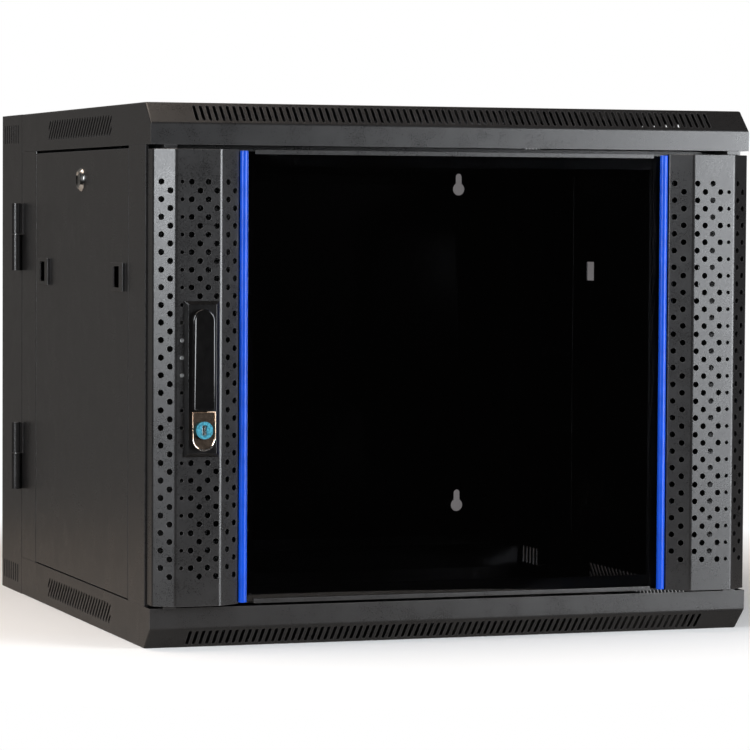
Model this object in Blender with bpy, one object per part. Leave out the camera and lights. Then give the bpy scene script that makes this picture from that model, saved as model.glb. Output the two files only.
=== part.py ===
"""Nine-unit swing-out wall cabinet for 19-inch network equipment.

The wall section is screwed to a wall and carries two lift-off hinges on its left.
The main body swings out on them.  It has folded top and bottom covers with sloped
noses, four corner posts, two removable side panels, four slotted rails and a glass
door between two perforated strips.  The door hangs on pins at its right edge and
is held shut by a swing handle on its left strip.

Metres, +Z up, front of the cabinet towards -Y.  The origin is on the underside,
in the middle of the 600 x 600 footprint.
"""
import math

import bmesh
import bpy
from mathutils import Matrix, Vector

# Overall
WIDTH = 0.600
DEPTH = 0.600
RACK_UNITS = 9
RACK_UNIT = 0.04445
END_ROOM = 0.0525               # from the outermost rack unit to the outside, top and bottom
WALL_DEPTH = 0.0905             # depth of the section that stays on the wall

# Sheet and joints
SHEET = 0.0012                  # covers, side panels, door strips, wall section
FRAME_SHEET = 0.0015            # posts and frame rails
RAIL_SHEET = 0.0020             # 19-inch rails and the bars that carry them
GAP = 0.0003                    # between faces that touch
SEAM_GAP = 0.0008               # between the main body and the wall section

# Covers
SKIRT = 0.0390                  # height of the covers' side skirts
BAND = 0.0195                   # height of the nose's upright band
SLOPE_RUN = 0.0205              # depth of the nose's slope

# Posts and frame
POST_SETBACK = 0.0190           # front edge of the post behind the nose
HEM = 0.0030                    # double thickness of the post's front edge
FLANGE_SETBACK = 0.0260         # front flange of the post behind the nose
FRONT_POST = 0.0595             # side width of a front post
REAR_POST = 0.0622              # side width of a rear post
POST_FLANGE = 0.0280            # width of a post's inward flange
POST_RETURN = 0.0175            # depth of the flange's return
FRAME_RAIL = 0.0119             # height of the frame's cross rails
FRAME_RAIL_LEG = 0.0240

# Side panels
PANEL_SIDE_GAP = 0.0006
PANEL_TOP_GAP = 0.0030
PANEL_BOTTOM_GAP = 0.0015
PANEL_LOCK_DROP = 0.0280        # lock axis below the panel's top edge
PANEL_LOCK_SETBACK = 0.1775     # lock axis behind the panel's front edge
PULL_WIDTH = 0.0440             # pressed finger pull, along the panel
PULL_HEIGHT = 0.0270
PULL_RISE = 0.0035              # how far the pull stands out
PULL_DROP = 0.1206              # pull's middle below the panel's top edge
REAR_PULL_INSET = 0.0186        # rear pull's end from the panel's rear edge
FRONT_PULL_INSET = 0.0092       # front pull's end from the panel's front edge
PULL_HOLE = 0.0200
PULL_HOLE_OFFSET = 0.0113       # hole's rear end from the pull's rear end

# Cam locks of the side panels and of the body
LOCK_BEZEL_R = 0.0116
LOCK_PLUG_R = 0.0058
LOCK_CLEARANCE = 0.0006
LOCK_BEZEL_T = 0.0034
LOCK_DISH_RIM = 0.0014          # width of the bezel's rim around its dish
LOCK_DISH_FLOOR = 0.0010        # metal under the dish
LOCK_PLUG_RISE = 0.0008         # plug above the dish's floor
LOCK_LENGTH = 0.0200
CAM_WIDTH = 0.0120
CAM_REACH = 0.0200
CAM_T = 0.0020
BODY_LOCK_INSET = 0.0240        # body lock's axis in front of the seam

# Main hinge
HINGE_R = 0.0050
HINGE_PIN_R = 0.0030
HINGE_LENGTH = 0.0705
HINGE_SPLIT = 0.0325            # from the knuckle's top to the split
HINGE_OFFSET = 0.0062           # axis outside the cabinet's side
HINGE_AXIS_INSET = 0.0010       # axis in front of the seam
UPPER_HINGE_DROP = 0.0930       # top of the upper hinge below the cabinet's top
LOWER_HINGE_RISE = 0.1115       # foot of the lower hinge above the cabinet's foot
LEAF_WIDTH = 0.0130
LEAF_T = 0.0020

# Door
DOOR_MARGIN = 0.0018            # door's side edge inside the cabinet's side
DOOR_TOP_GAP = 0.0042
DOOR_BOTTOM_GAP = 0.0025
DOOR_EDGE = 0.0005              # strip's bevels start this far in front of the nose
BULGE = 0.0125                  # strip's face stands this far out of its edges
OUTER_BEVEL = 0.0187
STRIP_FACE = 0.0432
INNER_BEVEL = 0.0210
DOOR_FLANGE = 0.0175            # depth of the door's side edge
DOOR_LIP = 0.0130
GLASS_T = 0.0040
GLASS_INSET = 0.0010            # glass front behind the nose plane
GLASS_EDGE = 0.0018             # glass edge to the strip
GLASS_SEAT = 0.0150             # width of the seat behind the glass
GLASS_LIP = 0.0040              # lip of the channel over the glass edge
TRIM_WIDTH = 0.0080
TRIM_RISE = 0.0040
TRIM_END = 0.0010

# Door hinge
PIN_INSET = 0.0162              # pin axis inside the door's side edge
PIN_SETBACK = 0.0040            # pin axis behind the nose plane
PIN_R = 0.0025
PIN_CLEARANCE = 0.0004
PIN_BLOCK = 0.0120
LUG_WIDTH = 0.0120
LUG_OVERHANG = 0.0070           # lug in front of the pin axis

# Swing handle
HANDLE_WIDTH = 0.0332
HANDLE_HEIGHT = 0.1432
HANDLE_BASE_T = 0.0040
HANDLE_FOOT = 0.1795            # foot of the base above the cabinet's foot
HANDLE_MARGIN = 0.0021          # base's right side to the strip's inner bend
LEVER_WIDTH = 0.0214
LEVER_T = 0.0055
LEVER_TOP_INSET = 0.0073        # lever's top below the base's top
LEVER_KNUCKLE = 0.0025          # lift axis from the lever's top and back
SPINDLE_R = 0.0050
SPINDLE_HEAD = 0.0080
SPINDLE_HEAD_T = 0.0030
BRACKET_WIDTH = 0.0390          # bracket that clamps the base, behind the strip
BRACKET_HEIGHT = 0.0460
BRACKET_T = 0.0020
BRACKET_DROP = 0.0297           # bracket's top below the base's top
BRACKET_SHIFT = 0.0024          # bracket's middle left of the base's
TONGUE_WIDTH = 0.0160
TONGUE_T = 0.0020
TONGUE_SETBACK = 0.0310         # tongue behind the nose plane
TONGUE_GAP = 0.0028             # tongue's tip to the post's return, so its corners pass as it turns
LOCK_PLATE_WIDTH = 0.0222
LOCK_PLATE_HEIGHT = 0.0361
LOCK_PLATE_T = 0.0050
LOCK_PLATE_INSET = 0.0059       # lock plate's foot above the base's foot
KEY_RISE = 0.0190               # key's axis above the lock plate's foot
KEY_PLUG_R = 0.0070
KEY_CAP_R = 0.0081
KEY_CAP_T = 0.0020
KEY_SLOT_WIDTH = 0.0022
KEY_SLOT_HEIGHT = 0.0085

# 19-inch rails
HOLE_SPACING = 0.4651           # centre to centre across the rack
RACK_HOLE = 0.0095              # square
RACK_HOLE_STEPS = (0.00635, 0.022225, 0.0381)
BAY_WIDTH = 0.4500              # clear width between the rails
RAIL_FACE = 0.0270
RAIL_OUTER_LEG = 0.0400
RAIL_INNER_LEG = 0.0220
RAIL_END = 0.0090               # rail past the outermost unit
FRONT_RAIL_SETBACK = 0.0690     # front rails' faces behind the nose
REAR_RAIL_INSET = 0.0500        # rear rails' faces in front of the seam
BAR_HEIGHT = 0.0200
BAR_SIDE_GAP = 0.0040           # bar's outer edge to the cabinet's side

# Wall section
BACK_T = 0.0015
WALL_FLANGE = 0.0150
KEYHOLE_HEAD_R = 0.0070
KEYHOLE_NECK_R = 0.0037
KEYHOLE_NECK = 0.0173           # from the head's centre to the neck's end
KEYHOLE_X = 0.2220
UPPER_KEYHOLE_DROP = 0.0743
LOWER_KEYHOLE_RISE = 0.0760
ENTRY_WIDTH = 0.2400
ENTRY_DEPTH = 0.0480
ENTRY_PLATE_MARGIN = 0.0080

ROUND_STEPS = 24

HEIGHT = RACK_UNITS * RACK_UNIT + 2 * END_ROOM
SIDE = WIDTH / 2
FRONT = -DEPTH / 2
BACK = DEPTH / 2
SEAM = BACK - WALL_DEPTH        # front of the wall section
BODY_BACK = SEAM - SEAM_GAP
COVER_FOOT = HEIGHT - SKIRT
POST_FOOT = SKIRT + GAP
POST_HEAD = COVER_FOOT - GAP
POST_INNER = SIDE - HEM - POST_FLANGE + FRAME_SHEET   # inner side of a front post's flange
DOOR_SIDE = SIDE - DOOR_MARGIN
DOOR_FOOT = SKIRT + DOOR_BOTTOM_GAP
DOOR_HEAD = COVER_FOOT - DOOR_TOP_GAP
EDGE_Y = FRONT - DOOR_EDGE
FACE_Y = EDGE_Y - BULGE
FACE_OUTER = DOOR_SIDE - OUTER_BEVEL
FACE_INNER = FACE_OUTER - STRIP_FACE
STRIP_INNER = FACE_INNER - INNER_BEVEL
GLASS_FRONT = FRONT + GLASS_INSET
SEAT_Y = GLASS_FRONT + GLASS_T + GAP
GLASS_HALF = STRIP_INNER - GLASS_EDGE
BAY_FOOT = END_ROOM
PIN_X = DOOR_SIDE - PIN_INSET
PIN_Y = FRONT + PIN_SETBACK
HINGE_X = -SIDE - HINGE_OFFSET
HINGE_Y = SEAM - HINGE_AXIS_INSET
HANDLE_X = -FACE_INNER - HANDLE_MARGIN - HANDLE_WIDTH / 2
BASE_FRONT = FACE_Y - GAP - HANDLE_BASE_T
LEVER_BACK = BASE_FRONT - GAP
HANDLE_HEAD = HANDLE_FOOT + HANDLE_HEIGHT
LEVER_TOP = HANDLE_HEAD - LEVER_TOP_INSET
SPINDLE_Z = LEVER_TOP - LEVER_WIDTH / 2
LOCK_PLATE_FOOT = HANDLE_FOOT + LOCK_PLATE_INSET
LOCK_PLATE_HEAD = LOCK_PLATE_FOOT + LOCK_PLATE_HEIGHT
LEVER_FOOT = LOCK_PLATE_HEAD + GAP
KEY_Z = LOCK_PLATE_FOOT + KEY_RISE
PANEL_FRONT = FRONT + POST_SETBACK + FRONT_POST + PANEL_SIDE_GAP
PANEL_BACK = BODY_BACK - REAR_POST - PANEL_SIDE_GAP
PANEL_FOOT = SKIRT + PANEL_BOTTOM_GAP
PANEL_HEAD = COVER_FOOT - PANEL_TOP_GAP
PANEL_LOCK_Y = PANEL_FRONT + PANEL_LOCK_SETBACK
PANEL_LOCK_Z = PANEL_HEAD - PANEL_LOCK_DROP
BODY_LOCK_Y = BODY_BACK - BODY_LOCK_INSET
BODY_LOCK_Z = HEIGHT / 2


# ---------------------------------------------------------------- shapes

def new_bmesh(outline, axis, low, high):
    """Prism of a closed outline, extruded along an axis from low to high."""
    def place(point, level):
        u, v = point
        return {"X": (level, u, v), "Y": (u, level, v), "Z": (u, v, level)}[axis]

    bm = bmesh.new()
    face = bm.faces.new([bm.verts.new(place(point, low)) for point in outline])
    grown = bmesh.ops.extrude_face_region(bm, geom=[face])
    moved = [item for item in grown["geom"] if isinstance(item, bmesh.types.BMVert)]
    shift = Vector(place((0, 0), high)) - Vector(place((0, 0), low))
    bmesh.ops.translate(bm, verts=moved, vec=shift)
    bmesh.ops.recalc_face_normals(bm, faces=bm.faces)
    return bm


def box_bmesh(low, high):
    outline = [(low[0], low[1]), (high[0], low[1]), (high[0], high[1]), (low[0], high[1])]
    return new_bmesh(outline, "Z", low[2], high[2])


def circle(centre, radius, steps=ROUND_STEPS):
    return [(centre[0] + radius * math.cos(math.tau * i / steps),
             centre[1] + radius * math.sin(math.tau * i / steps)) for i in range(steps)]


def arc(centre, radius, start, end, steps=ROUND_STEPS // 2):
    """Points on an arc, with both ends, angles in degrees."""
    angles = [math.radians(start + (end - start) * i / steps) for i in range(steps + 1)]
    return [(centre[0] + radius * math.cos(a), centre[1] + radius * math.sin(a)) for a in angles]


def offset_path(path, distance):
    """Open path moved to its left by a distance, with mitred corners."""
    points = [Vector(point) for point in path]
    normals = [Vector((a.y - b.y, b.x - a.x)).normalized() for a, b in zip(points, points[1:])]
    moved = [points[0] + normals[0] * distance]
    for point, before, after in zip(points[1:-1], normals, normals[1:]):
        middle = (before + after).normalized()
        moved.append(point + middle * (distance / middle.dot(before)))
    moved.append(points[-1] + normals[-1] * distance)
    return moved


def folded(path, thickness):
    """Closed outline of a folded sheet: its outer face follows the path, its metal is on the left."""
    return [Vector(point) for point in path] + offset_path(path, thickness)[::-1]


def merged(*meshes):
    """One bmesh with the islands of several."""
    whole = bmesh.new()
    for part in meshes:
        scratch = bpy.data.meshes.new("scratch")
        part.to_mesh(scratch)
        part.free()
        whole.from_mesh(scratch)
        bpy.data.meshes.remove(scratch)
    return whole


def mirrored(bm, axis, centre=0.0):
    """The same shape mirrored across a plane."""
    index = "XYZ".index(axis)
    for vert in bm.verts:
        vert.co[index] = 2 * centre - vert.co[index]
    bmesh.ops.reverse_faces(bm, faces=bm.faces)
    return bm


# ---------------------------------------------------------------- objects

def make_material(name, colour, roughness, metallic, alpha=1.0):
    material = bpy.data.materials.new(name)
    material.use_nodes = True
    shader = material.node_tree.nodes["Principled BSDF"]
    shader.inputs["Base Color"].default_value = (*colour, 1.0)
    shader.inputs["Roughness"].default_value = roughness
    shader.inputs["Metallic"].default_value = metallic
    shader.inputs["Alpha"].default_value = alpha
    return material


def make_materials():
    return {
        "powder": make_material("black_powder_coat", (0.030, 0.030, 0.033), 0.45, 0.0),
        "glass": make_material("smoked_glass", (0.010, 0.010, 0.014), 0.03, 0.0, 0.35),
        "trim": make_material("blue_trim", (0.010, 0.110, 0.750), 0.25, 0.0),
        "chrome": make_material("chrome", (0.75, 0.74, 0.73), 0.10, 1.0),
        "zinc": make_material("zinc_plated_steel", (0.55, 0.55, 0.56), 0.35, 1.0),
        "handle": make_material("black_enamel", (0.012, 0.012, 0.013), 0.22, 0.0),
        "cap": make_material("blue_key_cap", (0.15, 0.55, 0.80), 0.15, 0.0),
    }


class Body:
    """A group of pieces that move together, hung on an empty at its joint's axis."""

    def __init__(self, name, pivot=(0, 0, 0), parent=None):
        self.pivot = Vector(pivot)
        self.empty = bpy.data.objects.new("body_" + name, None)
        bpy.context.scene.collection.objects.link(self.empty)
        if parent:
            self.empty.parent = parent.empty
            self.empty.location = self.pivot - parent.pivot
        else:
            self.empty.location = self.pivot

    def add(self, name, bm, material, cutters=(), joined=()):
        """Makes a piece from a bmesh, less its cutters and joined with its additions."""
        piece = self.place(name, bm)
        piece.data.materials.append(material)
        for operation, shapes in (("UNION", joined), ("DIFFERENCE", cutters)):
            for number, shape in enumerate(shapes):
                tool = self.place(f"{name}_{operation.lower()}_{number}", shape)
                tool.display_type = "WIRE"
                tool.hide_render = True
                boolean = piece.modifiers.new(tool.name, "BOOLEAN")
                boolean.operation = operation
                boolean.object = tool
        piece.data.shade_smooth()
        piece.data.set_sharp_from_angle(angle=math.radians(30))
        return piece

    def place(self, name, bm):
        mesh = bpy.data.meshes.new(name)
        bmesh.ops.translate(bm, verts=bm.verts, vec=-self.pivot)
        bm.to_mesh(mesh)
        bm.free()
        obj = bpy.data.objects.new(name, mesh)
        bpy.context.scene.collection.objects.link(obj)
        obj.parent = self.empty
        return obj


# ---------------------------------------------------------------- wall section

def keyhole(x, z, y_low, y_high):
    """Keyhole cutter: round head below, narrow neck above."""
    spread = math.degrees(math.asin(KEYHOLE_NECK_R / KEYHOLE_HEAD_R))
    head = arc((x, z), KEYHOLE_HEAD_R, 90 + spread, 450 - spread, ROUND_STEPS)
    neck = arc((x, z + KEYHOLE_NECK - KEYHOLE_NECK_R), KEYHOLE_NECK_R, 0, 180)
    return new_bmesh(head + neck, "Y", y_low, y_high)


def add_wall_section(body, material):
    keyholes = [keyhole(side * KEYHOLE_X, z, BACK - 2 * BACK_T, BACK + BACK_T)
                for side in (-1, 1) for z in (LOWER_KEYHOLE_RISE, HEIGHT - UPPER_KEYHOLE_DROP)]
    body.add("wall_back", box_bmesh((-SIDE, BACK - BACK_T, 0), (SIDE, BACK, HEIGHT)),
             material, cutters=[merged(*keyholes)])
    inner_back = BACK - BACK_T - GAP
    for name, side in (("left", -1), ("right", 1)):
        path = [(-SIDE, inner_back), (-SIDE, SEAM), (-SIDE + WALL_FLANGE, SEAM)]
        plate = new_bmesh(folded(path, SHEET), "Z", 0, HEIGHT)
        trims = []
        for low, high in ((-GAP, WALL_FLANGE + GAP), (HEIGHT - WALL_FLANGE - GAP, HEIGHT + GAP)):
            trims.append(box_bmesh((-SIDE + SHEET, SEAM - GAP, low),
                                   (-SIDE + 2 * WALL_FLANGE, SEAM + 2 * SHEET, high)))
        trim = merged(*trims)
        if side > 0:
            mirrored(plate, "X")
            mirrored(trim, "X")
        body.add("wall_side_" + name, plate, material, cutters=[trim])
    reach = SIDE - SHEET - GAP
    entry_y = (SEAM + BACK) / 2
    half = ENTRY_WIDTH / 2
    for name, top in (("bottom", False), ("top", True)):
        path = [(SEAM, WALL_FLANGE), (SEAM, 0), (inner_back, 0)]
        plate = new_bmesh(folded(path, SHEET), "X", -reach, reach)
        entry = box_bmesh((-half, entry_y - ENTRY_DEPTH / 2, -SHEET),
                          (half, entry_y + ENTRY_DEPTH / 2, 2 * SHEET))
        cover = box_bmesh((-half - ENTRY_PLATE_MARGIN, entry_y - ENTRY_DEPTH / 2 - ENTRY_PLATE_MARGIN,
                           SHEET + GAP),
                          (half + ENTRY_PLATE_MARGIN, entry_y + ENTRY_DEPTH / 2 + ENTRY_PLATE_MARGIN,
                           2 * SHEET + GAP))
        if top:
            for shape in (plate, entry, cover):
                mirrored(shape, "Z", HEIGHT / 2)
        body.add("wall_" + name, plate, material, cutters=[entry])
        body.add("cable_plate_" + name, cover, material)


# ---------------------------------------------------------------- main hinge

def hinge_feet():
    """Height of the foot of each hinge."""
    return {"upper": HEIGHT - UPPER_HINGE_DROP - HINGE_LENGTH, "lower": LOWER_HINGE_RISE}


def knuckle(low, high, leaf_y):
    """Half of a hinge barrel with the leaf that is welded to the cabinet's side."""
    centre = (HINGE_X, HINGE_Y)
    barrel = new_bmesh(circle(centre, HINGE_R), "Z", low, high)
    leaf = box_bmesh((-SIDE - GAP - LEAF_T, leaf_y[0], low), (-SIDE - GAP, leaf_y[1], high))
    bore = new_bmesh(circle(centre, HINGE_PIN_R + GAP), "Z", low - GAP, high + GAP)
    return barrel, leaf, bore


def add_hinges(wall, main, powder, zinc):
    for name, foot in hinge_feet().items():
        head = foot + HINGE_LENGTH
        split = head - HINGE_SPLIT
        fixed_leaf = (SEAM + GAP, SEAM + LEAF_WIDTH)
        moving_leaf = (BODY_BACK - LEAF_WIDTH, BODY_BACK)
        barrel, leaf, bore = knuckle(foot, split - GAP, fixed_leaf)
        wall.add("knuckle_fixed_" + name, barrel, powder, cutters=[bore], joined=[leaf])
        barrel, leaf, bore = knuckle(split + GAP, head, moving_leaf)
        main.add("knuckle_moving_" + name, barrel, powder, cutters=[bore], joined=[leaf])
        pin = new_bmesh(circle((HINGE_X, HINGE_Y), HINGE_PIN_R), "Z", foot + GAP, head - GAP)
        wall.add("hinge_pin_" + name, pin, zinc)


# ---------------------------------------------------------------- covers

def cover_bmeshes(top):
    """Folded cover and the cutter that hollows it."""
    path = [(FRONT, COVER_FOOT), (FRONT, COVER_FOOT + BAND), (FRONT + SLOPE_RUN, HEIGHT),
            (BODY_BACK, HEIGHT)]
    inner = offset_path(path, -SHEET)
    inner[0].y -= SHEET
    inner[-1].x += SHEET
    outer = new_bmesh(path + [(BODY_BACK, COVER_FOOT)], "X", -SIDE, SIDE)
    hollow = new_bmesh(inner + [(inner[-1].x, inner[0].y)], "X", -SIDE + SHEET, SIDE - SHEET)
    if not top:
        for shape in (outer, hollow):
            mirrored(shape, "Z", HEIGHT / 2)
    return outer, hollow


def add_covers(body, material):
    for name, top in (("bottom_tray", False), ("top_cover", True)):
        outer, hollow = cover_bmeshes(top)
        body.add(name, outer, material, cutters=[hollow])


# ---------------------------------------------------------------- frame

def front_post_outline():
    """Left front post: hemmed front edge, inward flange and return."""
    edge, flange = FRONT + POST_SETBACK, FRONT + FLANGE_SETBACK
    back = edge + FRONT_POST
    end = flange + FRAME_SHEET + POST_RETURN
    return [(-SIDE, back), (-SIDE, edge), (-SIDE + HEM, edge), (-SIDE + HEM, flange),
            (-POST_INNER, flange), (-POST_INNER, end), (-POST_INNER - FRAME_SHEET, end),
            (-POST_INNER - FRAME_SHEET, flange + FRAME_SHEET),
            (-SIDE + FRAME_SHEET, flange + FRAME_SHEET), (-SIDE + FRAME_SHEET, back)]


def lug_bmeshes():
    """Lugs for the door's pins at the head and foot of the left front post, and their holes."""
    reach = FRONT + FLANGE_SETBACK + FRAME_SHEET / 2
    lugs, holes = [], []
    for low, high in ((POST_FOOT, DOOR_FOOT - GAP), (DOOR_HEAD + 2 * GAP, POST_HEAD)):
        lugs.append(box_bmesh((-PIN_X - LUG_WIDTH / 2, PIN_Y - LUG_OVERHANG, low),
                              (-PIN_X + LUG_WIDTH / 2, reach, high)))
        holes.append(new_bmesh(circle((-PIN_X, PIN_Y), PIN_R + PIN_CLEARANCE), "Z",
                               low - GAP, high + GAP))
    return merged(*lugs), merged(*holes)


def rear_post_path():
    """Outer path of the left rear post, from its return to its side's front edge."""
    inner = SIDE - POST_FLANGE - FRAME_SHEET
    return [(-inner, BODY_BACK - POST_RETURN), (-inner, BODY_BACK), (-SIDE, BODY_BACK),
            (-SIDE, BODY_BACK - REAR_POST)]


def add_posts(body, material):
    for name, side in (("left", -1), ("right", 1)):
        post = new_bmesh(front_post_outline(), "Z", POST_FOOT, POST_HEAD)
        lugs, holes = lug_bmeshes()
        rear = new_bmesh(folded(rear_post_path(), FRAME_SHEET), "Z", POST_FOOT, POST_HEAD)
        cutters = []
        if side > 0:
            for shape in (post, lugs, holes, rear):
                mirrored(shape, "X")
            cutters = [new_bmesh(circle((BODY_LOCK_Y, BODY_LOCK_Z), LOCK_PLUG_R + LOCK_CLEARANCE),
                                 "X", SIDE - 2 * FRAME_SHEET, SIDE + FRAME_SHEET)]
        body.add("post_front_" + name, post, material, joined=[lugs], cutters=[holes])
        body.add("post_rear_" + name, rear, material, cutters=cutters)


def add_frame_rails(body, material):
    """Cross rails above and below the bay, at the front and at the back."""
    rear_reach = SIDE - POST_FLANGE - FRAME_SHEET - GAP
    flange = FRONT + FLANGE_SETBACK
    rails = {
        "frame_bottom_front": ([(flange, POST_FOOT + FRAME_RAIL), (flange, POST_FOOT),
                                (flange + FRAME_RAIL_LEG, POST_FOOT)], POST_INNER - GAP),
        "frame_bottom_rear": ([(BODY_BACK - FRAME_RAIL_LEG, POST_FOOT), (BODY_BACK, POST_FOOT),
                               (BODY_BACK, POST_FOOT + FRAME_RAIL)], rear_reach),
    }
    for name, (path, reach) in rails.items():
        for top in (False, True):
            rail = new_bmesh(folded(path, FRAME_SHEET), "X", -reach, reach)
            if top:
                mirrored(rail, "Z", HEIGHT / 2)
            body.add(name.replace("bottom", "top") if top else name, rail, material)


# ---------------------------------------------------------------- rails

def rack_holes(x, y_low, y_high):
    """Square holes for cage nuts, three to each rack unit."""
    half = RACK_HOLE / 2
    holes = []
    for unit in range(RACK_UNITS):
        for step in RACK_HOLE_STEPS:
            z = BAY_FOOT + unit * RACK_UNIT + step
            holes.append(box_bmesh((x - half, y_low, z - half), (x + half, y_high, z + half)))
    return merged(*holes)


def add_rails(body, material):
    inner = BAY_WIDTH / 2
    outer = inner + RAIL_FACE
    low = BAY_FOOT - RAIL_END
    high = BAY_FOOT + RACK_UNITS * RACK_UNIT + RAIL_END
    faces = {"front": (FRONT + FRONT_RAIL_SETBACK, 1), "rear": (BODY_BACK - REAR_RAIL_INSET, -1)}
    for place, (face, way) in faces.items():
        for name, side in (("left", -1), ("right", 1)):
            path = [(-outer, face + RAIL_OUTER_LEG), (-outer, face), (-inner, face),
                    (-inner, face + RAIL_INNER_LEG)]
            rail = new_bmesh(folded(path, RAIL_SHEET), "Z", low, high)
            holes = rack_holes(-HOLE_SPACING / 2, face - RAIL_SHEET, face + 2 * RAIL_SHEET)
            for shape in (rail, holes):
                if way < 0:
                    mirrored(shape, "Y", face)
                if side > 0:
                    mirrored(shape, "X")
            body.add(f"rail_{place}_{name}", rail, material, cutters=[holes])


def add_depth_bars(body, material):
    """Bars from front to back that the rails are bolted to."""
    inner = BAY_WIDTH / 2 + RAIL_FACE + GAP
    foot = POST_FOOT + FRAME_SHEET + 2 * GAP
    front = FRONT + FLANGE_SETBACK + FRAME_SHEET + POST_RETURN + GAP
    back = BODY_BACK - POST_RETURN - GAP
    for side_name, side in (("left", -1), ("right", 1)):
        for level, top in (("bottom", False), ("top", True)):
            path = [(-SIDE + BAR_SIDE_GAP, foot), (-inner, foot), (-inner, foot + BAR_HEIGHT)]
            bar = new_bmesh(folded(path, RAIL_SHEET), "Y", front, back)
            if side > 0:
                mirrored(bar, "X")
            if top:
                mirrored(bar, "Z", HEIGHT / 2)
            body.add(f"depth_bar_{level}_{side_name}", bar, material)


# ---------------------------------------------------------------- side panels and cam locks

def bezel_bmeshes(x, y, z):
    """Ring around a cam lock on the left side, its dish and its bore."""
    ring = new_bmesh(circle((y, z), LOCK_BEZEL_R), "X", x - LOCK_BEZEL_T, x)
    dish = new_bmesh(circle((y, z), LOCK_BEZEL_R - LOCK_DISH_RIM), "X",
                     x - 2 * LOCK_BEZEL_T, x - LOCK_DISH_FLOOR)
    bore = new_bmesh(circle((y, z), LOCK_PLUG_R + LOCK_CLEARANCE), "X", x - 2 * LOCK_BEZEL_T, x + GAP)
    return ring, dish, bore


def cam_lock_bmeshes(x, y, z, cam_way):
    """Plug on the left side with its cam on the inner end, pointing along cam_way in (y, z)."""
    inner = x + LOCK_LENGTH
    plug = new_bmesh(circle((y, z), LOCK_PLUG_R), "X", x - LOCK_DISH_FLOOR - LOCK_PLUG_RISE, inner)
    across = (cam_way[1] * CAM_WIDTH / 2, cam_way[0] * CAM_WIDTH / 2)
    tip = (y + cam_way[0] * CAM_REACH, z + cam_way[1] * CAM_REACH)
    outline = [(y - across[0], z - across[1]), (tip[0] - across[0], tip[1] - across[1]),
               (tip[0] + across[0], tip[1] + across[1]), (y + across[0], z + across[1])]
    cam = new_bmesh(outline, "X", inner - CAM_T, inner + CAM_T / 2)
    return plug, cam


def pull_bmeshes(rear):
    """Pressed finger pull: outer boss, the hollow behind it and its hole."""
    low_z = PANEL_HEAD - PULL_DROP - PULL_HEIGHT / 2
    high_z = low_z + PULL_HEIGHT
    front = rear - PULL_WIDTH
    boss = box_bmesh((-SIDE - PULL_RISE, front, low_z), (-SIDE + SHEET / 2, rear, high_z))
    hollow = box_bmesh((-SIDE - PULL_RISE + SHEET, front + SHEET, low_z + SHEET),
                       (-SIDE + 2 * SHEET, rear - SHEET, high_z - SHEET))
    middle = (low_z + high_z) / 2
    hole_rear = rear - PULL_HOLE_OFFSET
    hole = box_bmesh((-SIDE - 2 * PULL_RISE, hole_rear - PULL_HOLE, middle - PULL_HOLE / 2),
                     (-SIDE + 3 * SHEET, hole_rear, middle + PULL_HOLE / 2))
    return boss, hollow, hole


def add_side_panel(panel, key, name, side, powder, chrome):
    plate = box_bmesh((-SIDE, PANEL_FRONT, PANEL_FOOT), (-SIDE + SHEET, PANEL_BACK, PANEL_HEAD))
    rear_ends = (PANEL_BACK - REAR_PULL_INSET, PANEL_FRONT + FRONT_PULL_INSET + PULL_WIDTH)
    pulls = [pull_bmeshes(rear_end) for rear_end in rear_ends]
    bosses = merged(*(pull[0] for pull in pulls))
    hollows = merged(*(pull[1] for pull in pulls))
    holes = merged(*(pull[2] for pull in pulls))
    bore = new_bmesh(circle((PANEL_LOCK_Y, PANEL_LOCK_Z), LOCK_PLUG_R + LOCK_CLEARANCE), "X",
                     -SIDE - SHEET, -SIDE + 2 * SHEET)
    ring, dish, ring_bore = bezel_bmeshes(-SIDE - GAP, PANEL_LOCK_Y, PANEL_LOCK_Z)
    plug, cam = cam_lock_bmeshes(-SIDE - GAP, PANEL_LOCK_Y, PANEL_LOCK_Z, (0, 1))
    if side > 0:
        for shape in (plate, bosses, hollows, holes, bore, ring, dish, ring_bore, plug, cam):
            mirrored(shape, "X")
    panel.add("side_panel_" + name, plate, powder, joined=[bosses], cutters=[hollows, holes, bore])
    panel.add("panel_lock_bezel_" + name, ring, chrome, cutters=[dish, ring_bore])
    key.add("panel_lock_plug_" + name, plug, chrome, joined=[cam])


def add_body_lock(body, key, chrome):
    ring, dish, bore = bezel_bmeshes(-SIDE - GAP, BODY_LOCK_Y, BODY_LOCK_Z)
    plug, cam = cam_lock_bmeshes(-SIDE - GAP, BODY_LOCK_Y, BODY_LOCK_Z, (1, 0))
    for shape in (ring, dish, bore, plug, cam):
        mirrored(shape, "X")
    body.add("body_lock_bezel", ring, chrome, cutters=[dish, bore])
    key.add("body_lock_plug", plug, chrome, joined=[cam])


# ---------------------------------------------------------------- door

def strip_path():
    """Outer path of the left strip, from its rear lip round to the seat behind the glass."""
    back = FRONT + DOOR_FLANGE
    return [(-DOOR_SIDE + DOOR_LIP, back), (-DOOR_SIDE, back), (-DOOR_SIDE, EDGE_Y),
            (-FACE_OUTER, FACE_Y), (-FACE_INNER, FACE_Y), (-STRIP_INNER, EDGE_Y),
            (-STRIP_INNER, SEAT_Y), (-STRIP_INNER + GLASS_SEAT, SEAT_Y)]


def trim_outline():
    """Half-round trim over the glass's left edge."""
    back = GLASS_FRONT - GAP
    left = -STRIP_INNER + 2 * GAP
    centre = left + TRIM_WIDTH / 2
    round_part = [(centre + TRIM_WIDTH / 2 * math.cos(math.radians(a)),
                   back - TRIM_RISE * math.sin(math.radians(a))) for a in range(0, 181, 15)]
    return round_part[::-1]


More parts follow.
